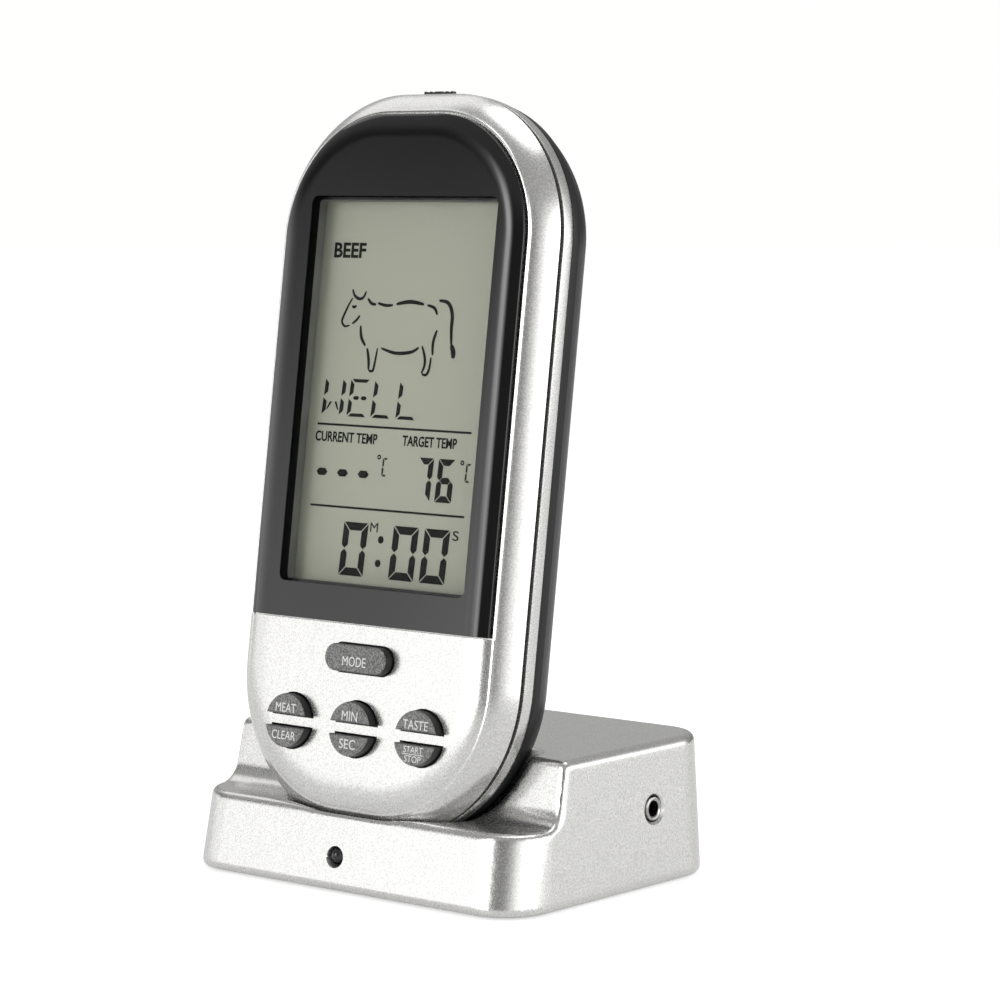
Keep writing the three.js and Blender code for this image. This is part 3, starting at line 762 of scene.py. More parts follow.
def finish(name):
    """A finish by name, made once."""
    colours = bpy.context.scene.thermometer_colours
    makers = {
        "silver": silver_paint,
        "dark": lambda: moulded_plastic("dark_shell", colours.dark, 0.34, shine=0.22),
        # Lighter grey for the collar's walls: painted light on the window's inner walls, which lie in shade.
        "bay": lambda: moulded_plastic("grey_collar", (0.15, 0.155, 0.145), 0.5),
        "black": lambda: moulded_plastic("black_plastic", (0.012, 0.012, 0.012), 0.35),
        # Near-black matte for the seam ring: painted shade standing for the shadow in the groove.
        "gap": lambda: moulded_plastic("black_gap", (0.004, 0.004, 0.004), 0.8),
        "rubber": lambda: moulded_plastic("black_rubber", (0.018, 0.018, 0.019), 0.8, 0.02),
        "button": button_top,
        "label": lambda: plain_print("label_print", colours.labels),
        "lens": lens_gloss,
        "display": display_reflector,
        "segment": lambda: plain_print("display_segment", colours.segments, 0.35, 0.08),
        "steel": lambda: bare_metal("plated_steel", (0.62, 0.61, 0.59), 0.22),
        # A brighter, glossier copy of the silver for the lens lip: a painted highlight line along its edge.
        "edge": lambda: bare_metal("polished_edge", (0.82, 0.82, 0.81), 0.12),
        "chrome": lambda: bare_metal("bright_nickel", (0.42, 0.415, 0.4), 0.12),
        "copper": lambda: bare_metal("copper_wire", (0.72, 0.36, 0.18), 0.25),
        "resin": smoked_resin,
        "board": circuit_board,
        "cell": cell_jacket,
        "strip": layered_rubber,
    }
    if name not in MATERIALS:
        MATERIALS[name] = makers[name]()
    return MATERIALS[name]


# ---------------------------------------------------------------- receiver


def face_profile():
    """Height and inset of the front housing from the seam, over its bead, to the flat of the face."""
    start, end, swell = (0.0, -6.2), (3.45, -2.32), 0.36
    run = math.hypot(end[0] - start[0], end[1] - start[1])
    out = (-(end[1] - start[1]) / run, (end[0] - start[0]) / run)
    profile = [(-6.36, 0.4), (-6.33, 0.16), (-6.26, 0.05)]
    steps = 14
    for i in range(steps + 1):
        t = i / steps
        lift = 4 * swell * t * (1 - t)
        inset = start[0] + (end[0] - start[0]) * t + out[0] * lift
        profile.append((start[1] + (end[1] - start[1]) * t + out[1] * lift, inset))
    profile += [(-2.24, 3.5), (-2.18, 3.62), (-2.13, 3.78), (-2.09, 3.95)]
    steps, rim, flat = 14, 4.1, 10.5
    for i in range(steps + 1):
        t = i / steps
        profile.append((-0.9 - 1.15 * (1 - t) ** 3.4, rim + (flat - rim) * t))
    return profile


def case_loft(name, profile):
    return loft(name, [(height, case_outline(inset)) for height, inset in profile])


def half_disc(side, grow, radius=5.0, split=1.15, steps=40):
    """Half of a split round button, above the split (side 1) or below (-1), made larger by grow."""
    radius += grow
    start = math.asin((split - grow) / radius)
    turns = [start + (math.pi - 2 * start) * i / steps for i in range(steps + 1)]
    points = [(radius * math.cos(a), side * radius * math.sin(a)) for a in turns]
    return points if side > 0 else points[::-1]


def pill(grow):
    return rounded_outline(7.5 + grow, -2.5 - grow, 2.5 + grow, 2.49 + grow, 2.49 + grow, 16)


def button_plan():
    """Name, place, outline and words of each front button. A word is (text, width, height, x, y)."""
    row = 15.15
    plan = [("mode_button", 0, 27.9, pill, [("MODE", 5.7, 1.75, -0.1, -0.55)])]
    columns = (
        ("meat", [("MEAT", 5.1, 1.65, 0, 2.35)], "clear", [("CLEAR", 5.9, 1.6, 0, -2.75)]),
        ("minute", [("MIN", 3.8, 1.75, 0, 2.35)], "second", [("SEC", 3.9, 1.75, 0, -2.75)]),
        (
            "taste",
            [("TASTE", 6.0, 1.65, 0, 2.35)],
            "start_stop",
            [("START", 4.6, 1.2, 0, -2.1), ("STOP", 3.9, 1.2, 0, -3.75)],
        ),
    )
    for i, (upper, upper_words, lower, lower_words) in enumerate(columns):
        x = (i - 1) * 16.0
        plan.append((f"{upper}_button", x, row, lambda grow: half_disc(1, grow), upper_words))
        plan.append((f"{lower}_button", x, row, lambda grow: half_disc(-1, grow), lower_words))
    return plan


def word(text, width, height, x, y, low, high, bold=0.0):
    """A mesh of a word as thin plates, fitted to a width and height and centred on a point."""
    curve = bpy.data.curves.new("word", "FONT")
    curve.body = text
    curve.resolution_u = 4
    curve.extrude = 0.5
    curve.offset = bold
    holder = new_piece("word", curve)
    bpy.context.view_layer.update()
    mesh = bpy.data.meshes.new_from_object(holder.evaluated_get(bpy.context.evaluated_depsgraph_get()))
    bpy.data.objects.remove(holder)
    bpy.data.curves.remove(curve)
    places = np.array([v.co for v in mesh.vertices])
    bottom, top = places.min(0), places.max(0)
    target = np.array([width, height, high - low]) * MM
    middle = np.array([x, y, (low + high) / 2]) * MM
    places = (places - (bottom + top) / 2) / (top - bottom) * target + middle
    mesh.vertices.foreach_set("co", places.astype(np.float32).ravel())
    mesh.update()
    return mesh


def joined(name, meshes, place):
    """One piece from several meshes."""
    whole = bmesh.new()
    for mesh in meshes:
        whole.from_mesh(mesh)
        bpy.data.meshes.remove(mesh)
    mesh = bpy.data.meshes.new(name)
    whole.to_mesh(mesh)
    whole.free()
    return new_piece(name, mesh, place)


def seam_cutters(inset):
    """The hollow inside a ring at the seam, and the power knob's slot through its top."""
    return [
        slab("inside", case_outline(inset), -11, -5),
        slab("slot", rectangle(-6, 128, 6, 134), -9.3, -7.5),
    ]


class THERMOMETER_OT_housing(bpy.types.Operator):
    """Build the receiver's front housing, side band, and a near-black ring as painted shade in the seam."""

    bl_idname = "thermometer.housing"
    bl_label = "Front housing"

    def execute(self, context):
        case = context.scene.thermometer_case
        shell = receiver_piece(case_loft("front_housing_shell", face_profile()))
        hollow = case_loft("hollow", [(-7.5, 1.8), (-4.4, 3.0), (-3.95, 3.6)])
        lower_hollow = slab("lower_hollow", rounded_outline(27.5, 2.5, 32, 23, 2, 16), -4.5, -2.9)
        window = slab("window", window_outline(1.4), -5, 2)
        button_gap = 0.32
        holes = [
            slab("hole", moved(outline(button_gap), x, y), -5, 2)
            for _, x, y, outline, _ in button_plan()
        ]
        seat = receiver_piece(slab("lens_seat", case_outline(3.98), -2.4, 2))
        seat_low = case.lens_low - 0.28
        carve(seat, [slab("above", rectangle(-FAR, seat_low, FAR, ABOVE), -4, 3)], "INTERSECT")
        seat_mesh = seat.data
        bpy.data.objects.remove(seat)
        carve(shell, [hollow, lower_hollow, seat_mesh, window, *holes])
        finish_mesh(shell, 0.12, 40)
        settle(shell, "receiver", "silver_plastic", "front_housing", materials=[finish("silver")])
        # The lip round the lens is the housing's silver edge, given the brighter metal as a painted
        # highlight.
        rim = receiver_piece(case_loft("lens_lip", LIP_PROFILE))
        carve(rim, [
            slab("inside", case_outline(3.9), -4, 0),
            slab("below", rectangle(-FAR, -10, FAR, case.lens_low - 0.2), -4, 0),
        ])
        finish_mesh(rim, 0, 60)
        settle(rim, "receiver", "silver_plastic", materials=[finish("edge")])
        band = receiver_piece(case_loft("side_band_ring", BAND_PROFILE))
        carve(band, seam_cutters(1.8))
        finish_mesh(band, 0.02, 40)
        settle(band, "receiver", "silver_plastic", "side_band", materials=[finish("silver")])
        # A near-black ring fills the seam between the housings as painted shade of the groove.
        seam = receiver_piece(slab("seam_gasket", case_outline(0.55), -10.6, -6.1))
        carve(seam, seam_cutters(1.75))
        finish_mesh(seam)
        settle(seam, "receiver", "black_plastic", materials=[finish("gap")])
        return {"FINISHED"}


def bay_box(name, grow, low, high):
    half, bottom, top = BAY
    return slab(name, rectangle(-half - grow, bottom - grow, half + grow, top + grow), low, high)


class THERMOMETER_OT_back(bpy.types.Operator):
    """Build the receiver's back cover and its battery door."""

    bl_idname = "thermometer.back"
    bl_label = "Back cover"

    def execute(self, context):
        cover = receiver_piece(case_loft("back_cover_shell", BACK_PROFILE))
        hollow = case_loft("hollow", [(-18, 9.4), (-16.8, 6), (-14, 4), (-9, 2.4)])
        towers = [slab("tower", circle(3.1, x, y), -19, -11.3) for x, y in SCREW_PLACES]
        recesses = [slab("recess", circle(2.35, x, y), -21, -13.5) for x, y in SCREW_PLACES]
        bores = [slab("bore", circle(1.15, x, y, 24), -15, -10) for x, y in SCREW_PLACES]
        spots = moved(SOUND_HOLES, *BUZZER)
        holes = [slab("sound", circle(0.55, x, y, 20), -21, -17) for x, y in spots]
        carve(cover, [hollow])
        carve(cover, [bay_box("bay", 1.2, -18.9, -7.5), *towers], "UNION")
        carve(cover, [
            bay_box("bay", 0, -22, -8.2),
            bay_box("bed", 1.8, -22, DOOR_BED),
            slab("unit_hole", circle(2.3, *UNIT_BUTTON), -22, -17),
            *recesses, *bores, *holes,
        ])
        finish_mesh(cover, 0.15, 40)
        settle(cover, "receiver", "dark_plastic", "back_cover", materials=[finish("dark")])
        door = receiver_piece(bay_box("battery_door_plate", 1.5, -20, -18.9))
        grooves = [
            slab("groove", rectangle(-6 + i * 0.8, 88 + i * 2, 6 - i * 0.8, 88.9 + i * 2), -21, -19.6)
            for i in range(4)
        ]
        carve(door, grooves)
        finish_mesh(door, 0.2, 40, 3)
        settle(door, "battery_door", "dark_plastic", "battery_door", materials=[finish("dark")])
        return {"FINISHED"}


class THERMOMETER_OT_lens(bpy.types.Operator):
    """Build the lens, the collar round the window and the display with its segments."""

    bl_idname = "thermometer.lens"
    bl_label = "Lens and display"

    def execute(self, context):
        case = context.scene.thermometer_case
        rim, flat, steps = 4.3, 9.0, 28
        profile = [(-2.1, rim + 0.1), (-2.05, rim)]
        for i in range(steps + 1):
            t = i / steps
            profile.append((-1.3 * (1 - t) ** 2.6, rim + (flat - rim) * t))
        lens = receiver_piece(case_loft("lens", profile))
        carve(lens, [slab("above", rectangle(-FAR, case.lens_low, FAR, ABOVE), -4, 1)], "INTERSECT")
        finish_mesh(lens, 0.12, 40)
        settle(lens, "receiver", "lens_acrylic", "display_lens", materials=[finish("lens")])
        collar = receiver_piece(slab("window_collar", window_outline(3), -4.6, -4.15))
        carve(collar, [slab("neck", window_outline(1.1), -4.3, -2.3)], "UNION")
        carve(collar, [slab("window", window_outline(-0.5), -6, 0)])
        finish_mesh(collar, 0.05, 40)
        # The collar's front faces take black and its walls the lighter grey: painted light on the walls seen
        # through the window.
        finishes = [finish("bay"), finish("black")]
        settle(collar, "receiver", "grey_plastic", "display_frame", materials=finishes)
        paint_faces(collar, lambda face: face.normal.z > 0.5)
        glass = receiver_piece(slab("display_panel", rectangle(-25.2, 37.8, 25.2, 115.4), -7.2, -4.9))
        finish_mesh(glass, 0.1)
        settle(glass, "receiver", "display_glass", "display_glass", materials=[finish("display")])
        draw_segments()
        return {"FINISHED"}


def draw_segments():
    """The words, numbers and pictures of the display, in dark plates on the glass."""
    left, right, half = -20.1, 17.9, 0.2
    outlines = [rectangle(left, y - half, right, y + half) for y in RULES]
    outlines += big_time() + target_number() + doneness_word() + steer()
    for x in DASHES:
        outlines.append([(x - 1.4, 61.5), (x - 0.75, 60.82), (x + 0.75, 60.82), (x + 1.4, 61.5),
                         (x + 0.75, 62.18), (x - 0.75, 62.18)])
    words = (
        ("BEEF", 8.0, 2.85, -15.7, 102.85, 0.03),
        ("CURRENT TEMP", 15.6, 1.95, -12.55, 68.1, 0.025),
        ("TARGET TEMP", 13.2, 1.95, 8.05, 68.2, 0.025),
        ("M", 1.9, 1.75, -3.6, 51.95, 0.0),
        ("S", 1.45, 1.8, 16.3, 51.7, 0.01),
    )
    meshes = [word(*item[:5], DISPLAY_LOW, DISPLAY_HIGH, item[5]) for item in words]
    for x in DEGREES:
        ring, hole = (circle(radius, x, 64.9, 16) for radius in (0.46, 0.2))
        quads = zip(ring, ring[1:] + ring[:1], hole, hole[1:] + hole[:1])
        outlines += [[a, b, d, c] for a, b, c, d in quads]
        outlines += seven_segments(x + 0.85, 61.4, 1.3, 3.4, 0.38, 0.12, "adef")
    meshes.append(plates("segments", outlines, DISPLAY_LOW, DISPLAY_HIGH))
    segments = joined("display_segments", meshes, RECEIVER)
    settle(segments, "receiver", "display_glass", materials=[finish("segment")])


def seven_segments(x, y, wide, tall, stroke, gap, lit):
    """Outlines of the lit strokes of a seven-segment number, named a to g from the top round."""
    mid = y + tall / 2
    top, right = y + tall, x + wide
    half = stroke / 2
    strokes = {
        "a": [(x + gap, top), (x + stroke + gap, top - stroke), (right - stroke - gap, top - stroke),
              (right - gap, top)],
        "b": [(right, top - gap), (right - stroke, top - stroke - gap), (right - stroke, mid + half),
              (right - half, mid + gap / 2), (right, mid + half)],
        "c": [(right, y + gap), (right, mid - half), (right - half, mid - gap / 2),
              (right - stroke, mid - half), (right - stroke, y + stroke + gap)],
        "d": [(x + gap, y), (right - gap, y), (right - stroke - gap, y + stroke),
              (x + stroke + gap, y + stroke)],
        "e": [(x, y + gap), (x + stroke, y + stroke + gap), (x + stroke, mid - half),
              (x + half, mid - gap / 2), (x, mid - half)],
        "f": [(x, top - gap), (x, mid + half), (x + half, mid + gap / 2), (x + stroke, mid + half),
              (x + stroke, top - stroke - gap)],
        "g": [(x + half + gap, mid), (x + stroke + gap, mid - half), (right - stroke - gap, mid - half),
              (right - half - gap, mid), (right - stroke - gap, mid + half), (x + stroke + gap, mid + half)],
    }
    return [leaned(strokes[name], y, 0.045) for name in lit]


def big_time():
    """The clock row: 0:00."""
    outlines = [circle(0.7, x, y, 16) for x, y in ((-1.7, 49.8), (-1.95, 45.45))]
    for x in (-11.55, 0.85, 8.4):
        outlines += seven_segments(x, 42.7, 6.1, 9.9, 1.5, 0.16, "abcdef")
    return outlines


def target_number():
    """The set temperature: 76."""
    left = seven_segments(5.6, 57.45, 3.6, 7.9, 1.2, 0.13, "abc")
    return left + seven_segments(10.4, 57.45, 4.0, 7.9, 1.2, 0.13, "acdefg")


def doneness_word():
    """A word in starburst segments: WELL."""
    low, tall, stroke, gap = 72.0, 7.0, 0.92, 0.2
    high, mid = low + tall, low + tall / 2
    outlines = []

    def upright(x):
        outlines.append([(x, low + gap), (x + stroke, low + 1.0), (x + stroke, mid - 0.9), (x, mid - gap)])
        outlines.append([(x, mid + gap), (x + stroke, mid + 0.9), (x + stroke, high - 1.0), (x, high - gap)])

    def bar(x, y, wide, rise):
        points = [(x, y), (x + wide, y), (x + wide - 0.7, y + rise), (x + 0.7, y + rise)]
        outlines.append(points if rise > 0 else points[::-1])

    first, second = -19.4, -15.0
    upright(first)
    upright(second)
    outlines.append([(first + 1.0, low + 1.1), (first + 1.35, low + 1.2), (first + 2.3, mid - 0.9),
                     (first + 1.75, mid - 0.9)])
    outlines.append([(second - 0.55, low + 1.1), (second - 0.25, low + 1.1), (second - 0.95, mid - 0.9),
                     (second - 1.5, mid - 0.9)])
    for x in (-13.0, -7.0, -0.8):
        upright(x)
        bar(x + 0.35, low, 4.3, 0.62)
    bar(-12.7, high, 4.3, -0.62)
    for x in (-12.0, -10.1):
        outlines.append([(x, mid), (x + 0.4, mid - 0.36), (x + 1.2, mid - 0.36), (x + 1.6, mid),
                         (x + 1.2, mid + 0.36), (x + 0.4, mid + 0.36)])
    return [leaned(outline, low, 0.07) for outline in outlines]


def leaned(outline, low, slope):
    """An outline slanted like italic writing."""
    return [(x + (y - low) * slope, y) for x, y in outline]


def smooth_line(points, steps=6):
    """Points on a smooth curve through a few."""
    ends = [points[0], *points, points[-1]]
    line = []

    def between(p, q, r, s, t):
        square = 2 * p - 5 * q + 4 * r - s
        cube = 3 * q - p - 3 * r + s
        return 0.5 * (2 * q + (r - p) * t + square * t**2 + cube * t**3)

    for corners in zip(ends, ends[1:], ends[2:], ends[3:]):
        for i in range(steps):
            line.append(tuple(between(*along, i / steps) for along in zip(*corners)))
    return line + [points[-1]]


def brush(points, width):
    """The outline of a stroke along a smooth line, thinner at its ends."""
    line = smooth_line(points)
    left, right = [], []
    for i, (x, y) in enumerate(line):
        before, after = line[max(i - 1, 0)], line[min(i + 1, len(line) - 1)]
        dx, dy = after[0] - before[0], after[1] - before[1]
        size = math.hypot(dx, dy) or 1
        t = i / (len(line) - 1)
        half = width / 2 * (0.45 + 0.55 * math.sin(math.pi * t) ** 0.6)
        left.append((x - dy / size * half, y + dx / size * half))
        right.append((x + dy / size * half, y - dx / size * half))
    return right + left[::-1]


def steer():
    """A plain standing steer in loose brush strokes."""
    strokes = (
        (0.6, [(-14.2, 95.6), (-13.6, 94.5), (-12.5, 93.9), (-11.4, 94.1), (-10.7, 95.3)]),
        (0.5, [(-14.0, 94.0), (-14.9, 92.6), (-15.9, 90.6), (-16.2, 89.5), (-15.4, 88.7), (-14.2, 88.9)]),
        (0.5, [(-13.6, 89.2), (-12.6, 89.9), (-11.8, 90.8)]),
        (0.55, [(-14.0, 92.5), (-13.4, 92.3), (-12.9, 92.6)]),
        (0.6, [(-10.2, 94.0), (-9.2, 93.1), (-8.0, 92.9)]),
        (0.6, [(-7.6, 93.2), (-5.6, 92.8), (-3.8, 92.9)]),
        (0.75, [(-3.0, 93.1), (0.4, 93.6), (3.8, 93.2)]),
        (0.6, [(4.6, 93.1), (6.4, 92.6), (7.2, 91.4)]),
        (0.8, [(7.4, 94.0), (9.6, 93.6), (10.8, 91.6), (10.9, 88.8), (11.2, 86.0)]),
        (1.1, [(11.2, 86.0), (11.8, 84.8), (11.9, 83.6)]),
        (0.65, [(-11.4, 88.9), (-11.0, 86.8), (-9.8, 85.2)]),
        (0.65, [(-9.3, 84.8), (-8.7, 82.8), (-8.5, 80.8)]),
        (0.55, [(-8.5, 80.7), (-7.6, 80.6), (-7.2, 81.4), (-6.7, 84.9)]),
        (0.65, [(-5.8, 84.9), (-2.2, 84.1), (1.6, 84.4), (3.4, 85.3)]),
        (0.6, [(4.2, 85.6), (5.0, 83.8), (5.2, 82.2), (4.6, 80.6)]),
        (0.55, [(4.7, 80.5), (5.8, 80.4), (6.4, 81.6), (6.6, 83.6)]),
        (0.65, [(6.9, 84.0), (6.8, 86.4), (7.5, 88.6)]),
    )
    return [brush(points, width) for width, points in strokes]


class THERMOMETER_OT_buttons(bpy.types.Operator):
    """Build the seven front buttons with their labels, and the unit button on the back."""

    bl_idname = "thermometer.buttons"
    bl_label = "Buttons"

    def execute(self, context):
        top = BUTTON_TOP
        for name, x, y, outline, words in button_plan():
            edge = [(top - 0.32, 0.0), (top - 0.18, -0.04), (top - 0.06, -0.13), (top, -0.28)]
            sections = [(-3.9, 0.7), (-3.3, 0.7), (-3.3, 0.0), (-1.0, 0.0), *edge]
            levels = [(height, moved(outline(grow), x, y)) for height, grow in sections]
            cap = receiver_piece(loft(name + "_cap", levels))
            finish_mesh(cap, 0, 50)
            settle(cap, name, "button_plastic", name, materials=[finish("black"), finish("button")])
            paint_faces(cap, lambda face: face.normal.z > 0.5 and face.center.z > 0)
            label_low, label_high = top + 0.002, top + 0.02
            meshes = [
                word(text, wide, tall, x + dx, y + dy, label_low, label_high)
                for text, wide, tall, dx, dy in words
            ]
            if len(words) > 1:
                line = y + (words[0][4] + words[1][4]) / 2
                bar = rectangle(x - 2.5, line - 0.07, x + 2.5, line + 0.07)
                meshes.append(plates("bar", [bar], label_low, label_high))
            label = joined(name + "_label", meshes, RECEIVER)
            settle(label, name, "button_plastic", materials=[finish("label")])
        across, up = UNIT_BUTTON
        unit = receiver_piece(turned("unit_button_cap", UNIT_BUTTON_PROFILE, 48))
        unit.data.transform(Matrix.Translation((across * MM, up * MM, 0)))
        finish_mesh(unit)
        settle(unit, "unit_button", "button_plastic", "unit_button", materials=[finish("button")])
        return {"FINISHED"}


def jack_place():
    """Lays a body turned about z along the probe socket, out of the dock's right side."""
    return Matrix.Translation((0, JACK[0] * MM, JACK[1] * MM)) @ Matrix.Rotation(math.pi / 2, 4, "Y")


def light_place():
    """Lays a body turned about z along the signal light, out of the dock's front."""
    return Matrix.Translation((LIGHT[0] * MM, 0, LIGHT[1] * MM)) @ Matrix.Rotation(math.pi / 2, 4, "X")


class THERMOMETER_OT_dock(bpy.types.Operator):
    """Build the dock's upper moulding with its step, block and seat."""

    bl_idname = "thermometer.dock"
    bl_label = "Dock moulding"

    def execute(self, context):
        dock = context.scene.thermometer_dock
        margin, below = 1.5, 1.2
        low = (-dock.width / 2 - margin, -dock.depth / 2 - margin, -below)
        high = (dock.width / 2 + margin, dock.depth / 2 + margin, dock.height + margin)
        shell = new_piece("dock_moulding", skin("dock_moulding", hollow_dock, low, high, dock.pitch))
        jack = turned("jack_hole", JACK_HOLE_PROFILE)
        jack.transform(jack_place())
        light = turned("light_hole", LIGHT_HOLE_PROFILE)
        light.transform(light_place())
        carve(shell, [jack, light])
        finish_mesh(shell, 0, 42)
        settle(shell, "dock", "silver_plastic", "dock_upper_shell", materials=[finish("silver")])
        return {"FINISHED"}


class THERMOMETER_OT_fittings(bpy.types.Operator):
    """Build the probe socket's ring, the signal light, the power knob and the dock's switch knob."""

    bl_idname = "thermometer.fittings"
    bl_label = "Socket, light and knob"

    def execute(self, context):
        ring = new_piece("probe_socket_ring", turned("probe_socket_ring", JACK_RING_PROFILE), jack_place())
        finish_mesh(ring)
        settle(ring, "dock", "jack_chrome", "probe_jack_ring", materials=[finish("chrome")])
        radius = 1.5
        turns = np.linspace(0, math.pi / 2, 12)
        dome = [(radius * math.cos(a), 27.4 + radius * math.sin(a)) for a in turns]
        dome[-1] = (0, dome[-1][1])
        bulb = turned("signal_lamp", [(0, 22.6), (1.8, 22.6), (1.8, 23.4), (radius, 23.4), *dome], 48)
        lamp = new_piece("signal_lamp", bulb, light_place())
        finish_mesh(lamp)
        settle(lamp, "dock", "light_resin", "signal_light", materials=[finish("resin")])
        stem = slab("stem", rectangle(-3.55, 128.2, 3.55, 131.9), -9, -7.8)
        knob = new_piece("power_knob_ribs", stem, RECEIVER)
        teeth = [(-3.55, -2.95), (-2.25, -1.65), (-0.95, 0.95), (1.65, 2.25), (2.95, 3.55)]
        ribs = [slab("rib", rectangle(left, 131.6, right, 132.75), -8.85, -7.95) for left, right in teeth]
        carve(knob, [slab("foot", rectangle(-1.2, 126.4, 1.2, 128.6), -9, -7.8), *ribs], "UNION")
        finish_mesh(knob, 0.08, 40)
        settle(knob, "power_knob", "black_plastic", "power_knob", materials=[finish("black")])
        refine("dock_switch_knob", "dock_switch_knob", "black_plastic", "black", 0.15)
        return {"FINISHED"}


def refine(node, body, slot_name, material, bevel):
    """A finer copy of a node of the frame: its faces are merged and its edges rounded."""
    mesh = frame["nodes"][node].data.copy()
    mesh.materials.clear()
    work = bmesh.new()
    work.from_mesh(mesh)
    bmesh.ops.remove_doubles(work, verts=work.verts, dist=0.002 * MM)
    bmesh.ops.dissolve_limit(work, angle_limit=math.radians(1), verts=work.verts, edges=work.edges)
    work.to_mesh(mesh)
    work.free()
    piece = new_piece(node + "_fine", mesh)
    finish_mesh(piece, bevel, 30)
    settle(piece, body, slot_name, node, materials=[finish(material)])


class THERMOMETER_OT_underside(bpy.types.Operator):
    """Round the edges of the dock's bottom cover, door and feet, and of the screws."""

    bl_idname = "thermometer.underside"
    bl_label = "Underside and screws"

    def execute(self, context):
        for node, body in (("dock_bottom_cover", "dock"), ("dock_battery_door", "dock_battery_door")):
            refine(node, body, "dark_plastic", "dark", 0.15)
        for i in range(1, 5):
            refine(f"rubber_foot_{i}", "dock", "black_rubber", "rubber", 0.1)
            refine(f"dock_screw_{i}", "dock", "plated_steel", "steel", 0.06)
            refine(f"back_screw_{i}", "receiver", "plated_steel", "steel", 0.06)
        return {"FINISHED"}


INSIDE = {
    "display_connector_strip": "strip",
    "keypad_mat": "rubber",
    "main_board": "board",
    "radio_board": "board",
    "dock_board": "board",
    "buzzer": "black",
    "probe_jack_body": "black",
    "power_switch_body": "steel",
    "dock_switch_body": "steel",
    "dock_radio_can": "steel",
    "receiver_antenna_coil": "copper",
    "dock_antenna_coil": "copper",
    **{f"{part}_{contact}_contact": "steel" for part in ("receiver", "dock")
       for contact in ("bridge", "negative", "positive")},
    **{f"{part}_cell_{side}": "cell" for part in ("receiver", "dock") for side in ("left", "right")},
}


class THERMOMETER_OT_inside(bpy.types.Operator):
    """Give the parts inside the case and the dock their finishes."""

    bl_idname = "thermometer.inside"
    bl_label = "Inner parts"

    def execute(self, context):
        for name, material in INSIDE.items():
            mesh = frame["nodes"][name].data
            mesh.materials.clear()
            mesh.materials.append(finish(material))
        return {"FINISHED"}


# ---------------------------------------------------------------- stage


def direction(azimuth, elevation):
    """A unit vector: azimuth in degrees from the front (-Y) towards the right (+X)."""
    a, e = math.radians(azimuth), math.radians(elevation)
    return Vector((math.sin(a) * math.cos(e), -math.cos(a) * math.cos(e), math.sin(e)))


# The room's light by azimuth, as (degrees, level), below and above LIGHT_EDGE, and that of the ceiling.
BRIGHTEST = 8.0
LOW_LIGHT = (
    (-180, 0.05), (-150, 0.4), (-100, 0.7), (-78, 1.5), (-62, 1.7), (-42.5, 1.65), (-39.8, 2.7), (-36, 2.4),
    (-20, 2.5), (-15, 5.5), (-8, 5.5), (-2, 0.1), (26, 0.1), (38, 0.4), (49, 1.3), (60, 1.9), (74, 3.1),
    (84, 4.0), (110, 3.6), (124, 3.2), (143, 3.0), (150, 0.6), (156, 0.05), (180, 0.05),
)
HIGH_LIGHT = (
    (-180, 0.2), (-139, 0.5), (-100, 0.3), (-60, 0.08), (-42, 0.1), (-36, 0.5), (-30, 1.6), (-23, 7.5),
    (-15, 7.5), (-8, 1.5), (-2, 0.1), (26, 0.1), (38, 0.35), (49, 1.0), (60, 1.6), (74, 2.7), (84, 3.6),
    (110, 3.0), (124, 2.0), (143, 1.5), (155, 0.4), (180, 0.2),
)
LIGHT_EDGE, LIGHT_SOFT = 0.16, 0.115
CEILING = 0.4
CEILING_LOW, CEILING_HIGH = 0.28, 0.6

# Lamps: name, place and size in metres, and power in watts.
LAMPS = (
    ("overhead", (0.04, 0.1, 1.0), 0.7, 2.6),
    ("rear_left_light", (-0.72, 0.22, 0.9), 0.75, 1.15),
)
LAMP_AIM = Vector((0, 0, 0.08))

CAMERA_PLACE = Vector((425.28, -482.14, 134.80)) * MM
CAMERA_LENS = 125.04
CAMERA_AZIMUTH, CAMERA_ELEVATION, CAMERA_ROLL = 40.52, 5.79, -0.39

FLOOR_RADIUS, FLOOR_SIDES = 4000, 96


def studio_world():
    """Soft light from all round, with brighter screens at some places."""
    world = bpy.data.worlds.new("studio")
    world.use_nodes = True
    nodes = Nodes(world.node_tree)
    way = nodes.make("ShaderNodeTexCoord", output="Generated")
    across, deep, height = (nodes.axis(way, i) for i in range(3))
    turn = across.math("ARCTAN2", 0 - deep) / (2 * math.pi) + 0.5

    def round_the_room(levels):
        """A light level by azimuth, from (degrees, level) pairs of at most BRIGHTEST."""
        stops = [((azimuth + 180) / 360, (level / BRIGHTEST,) * 3) for azimuth, level in levels]
        return nodes.make("ShaderNodeValToRGB", {"stops": stops}, [turn]) * BRIGHTEST

    low_level = round_the_room(LOW_LIGHT)
    high_level = round_the_room(HIGH_LIGHT)
    rise = height.between(LIGHT_EDGE - LIGHT_SOFT, LIGHT_EDGE + LIGHT_SOFT)
    above = height.between(CEILING_LOW, CEILING_HIGH)
    light = (low_level * (1 - rise) + high_level * rise) * (1 - above) + above * CEILING
    view = nodes.make("ShaderNodeLightPath", output="Is Camera Ray")
    shown = view + (1 - view) * light
    back = nodes.make("ShaderNodeBackground", None, {"Color": (1, 1, 0.995), "Strength": shown})
    nodes.make("ShaderNodeOutputWorld", None, {"Surface": back})
    return world


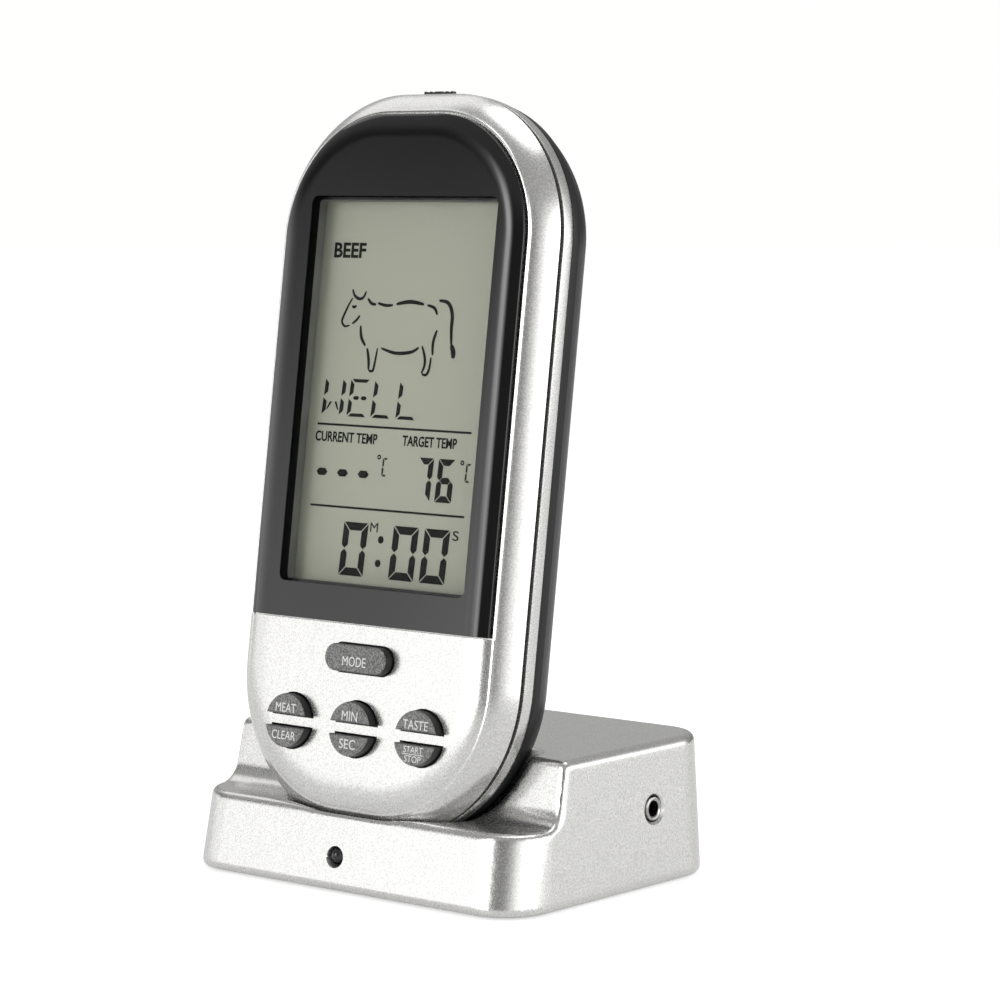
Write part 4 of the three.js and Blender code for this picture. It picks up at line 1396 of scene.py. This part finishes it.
class THERMOMETER_OT_stage(bpy.types.Operator):
    """Add the floor, the light and the camera."""

    bl_idname = "thermometer.stage"
    bl_label = "Stage"

    def execute(self, context):
        corners = [(x, y, 0) for x, y in circle(FLOOR_RADIUS, count=FLOOR_SIDES)]
        floor = new_piece("floor", mesh_from("floor", corners, [tuple(range(FLOOR_SIDES))]))
        material, nodes = new_material("pale_floor")
        grain = nodes.noise(40, 3)
        seen = nodes.make("ShaderNodeLightPath", output="Is Camera Ray")
        nodes.surface(
            Base_Color=nodes.blend(grain, (0.7, 0.7, 0.695), (0.74, 0.74, 0.735)),
            Roughness=0.9,
            Emission_Color=nodes.blend(seen, (0.25, 0.25, 0.25), (0.6, 0.6, 0.6)),
            Emission_Strength=1.0,
        )
        floor.data.materials.append(material)
        context.scene.world = studio_world()
        for name, place, size, power in LAMPS:
            lamp = bpy.data.lights.new(name, "AREA")
            lamp.shape = "DISK"
            lamp.size = size
            lamp.energy = power
            holder = new_piece(name, lamp)
            holder.location = place
            holder.rotation_euler = (LAMP_AIM - holder.location).to_track_quat("-Z", "Y").to_euler()
        camera = new_piece("camera", bpy.data.cameras.new("camera"))
        camera.data.lens = CAMERA_LENS
        camera.data.clip_start = 0.01
        camera.data.clip_end = 20
        look = -direction(CAMERA_AZIMUTH, CAMERA_ELEVATION)
        azimuth, roll = math.radians(CAMERA_AZIMUTH), math.radians(CAMERA_ROLL)
        level = Vector((math.cos(azimuth), math.sin(azimuth), 0))
        rise = level.cross(look)
        right = math.cos(roll) * level + math.sin(roll) * rise
        up = -math.sin(roll) * level + math.cos(roll) * rise
        turn = Matrix((right, up, -look)).transposed().to_4x4()
        camera.matrix_world = Matrix.Translation(CAMERA_PLACE) @ turn
        context.scene.camera = camera
        context.scene.view_settings.view_transform = "Standard"
        return {"FINISHED"}


class THERMOMETER_PT_sidebar(bpy.types.Panel):
    """Lists the pieces and their sizes."""

    bl_label = "Thermometer"
    bl_space_type = "VIEW_3D"
    bl_region_type = "UI"
    bl_category = "Thermometer"

    def draw(self, context):
        layout, scene = self.layout, context.scene
        for group in (scene.thermometer_case, scene.thermometer_dock, scene.thermometer_colours):
            box = layout.box()
            for name in group.__annotations__:
                box.prop(group, name)
        for operator in OPERATORS:
            layout.operator(operator.bl_idname)


OPERATORS = (
    THERMOMETER_OT_stage,
    THERMOMETER_OT_dock,
    THERMOMETER_OT_housing,
    THERMOMETER_OT_back,
    THERMOMETER_OT_lens,
    THERMOMETER_OT_buttons,
    THERMOMETER_OT_fittings,
    THERMOMETER_OT_underside,
    THERMOMETER_OT_inside,
)
CLASSES = (ThermometerCase, ThermometerDock, ThermometerColours, *OPERATORS, THERMOMETER_PT_sidebar)


def register():
    for item in CLASSES:
        bpy.utils.register_class(item)
    bpy.types.Scene.thermometer_case = PointerProperty(type=ThermometerCase)
    bpy.types.Scene.thermometer_dock = PointerProperty(type=ThermometerDock)
    bpy.types.Scene.thermometer_colours = PointerProperty(type=ThermometerColours)


def unregister():
    del bpy.types.Scene.thermometer_colours
    del bpy.types.Scene.thermometer_dock
    del bpy.types.Scene.thermometer_case
    for item in reversed(CLASSES):
        bpy.utils.unregister_class(item)


def main():
    """Builds every piece."""
    register()
    for operator in OPERATORS:
        group, name = operator.bl_idname.split(".")
        getattr(getattr(bpy.ops, group), name)()


if __name__ == "__main__":
    main()
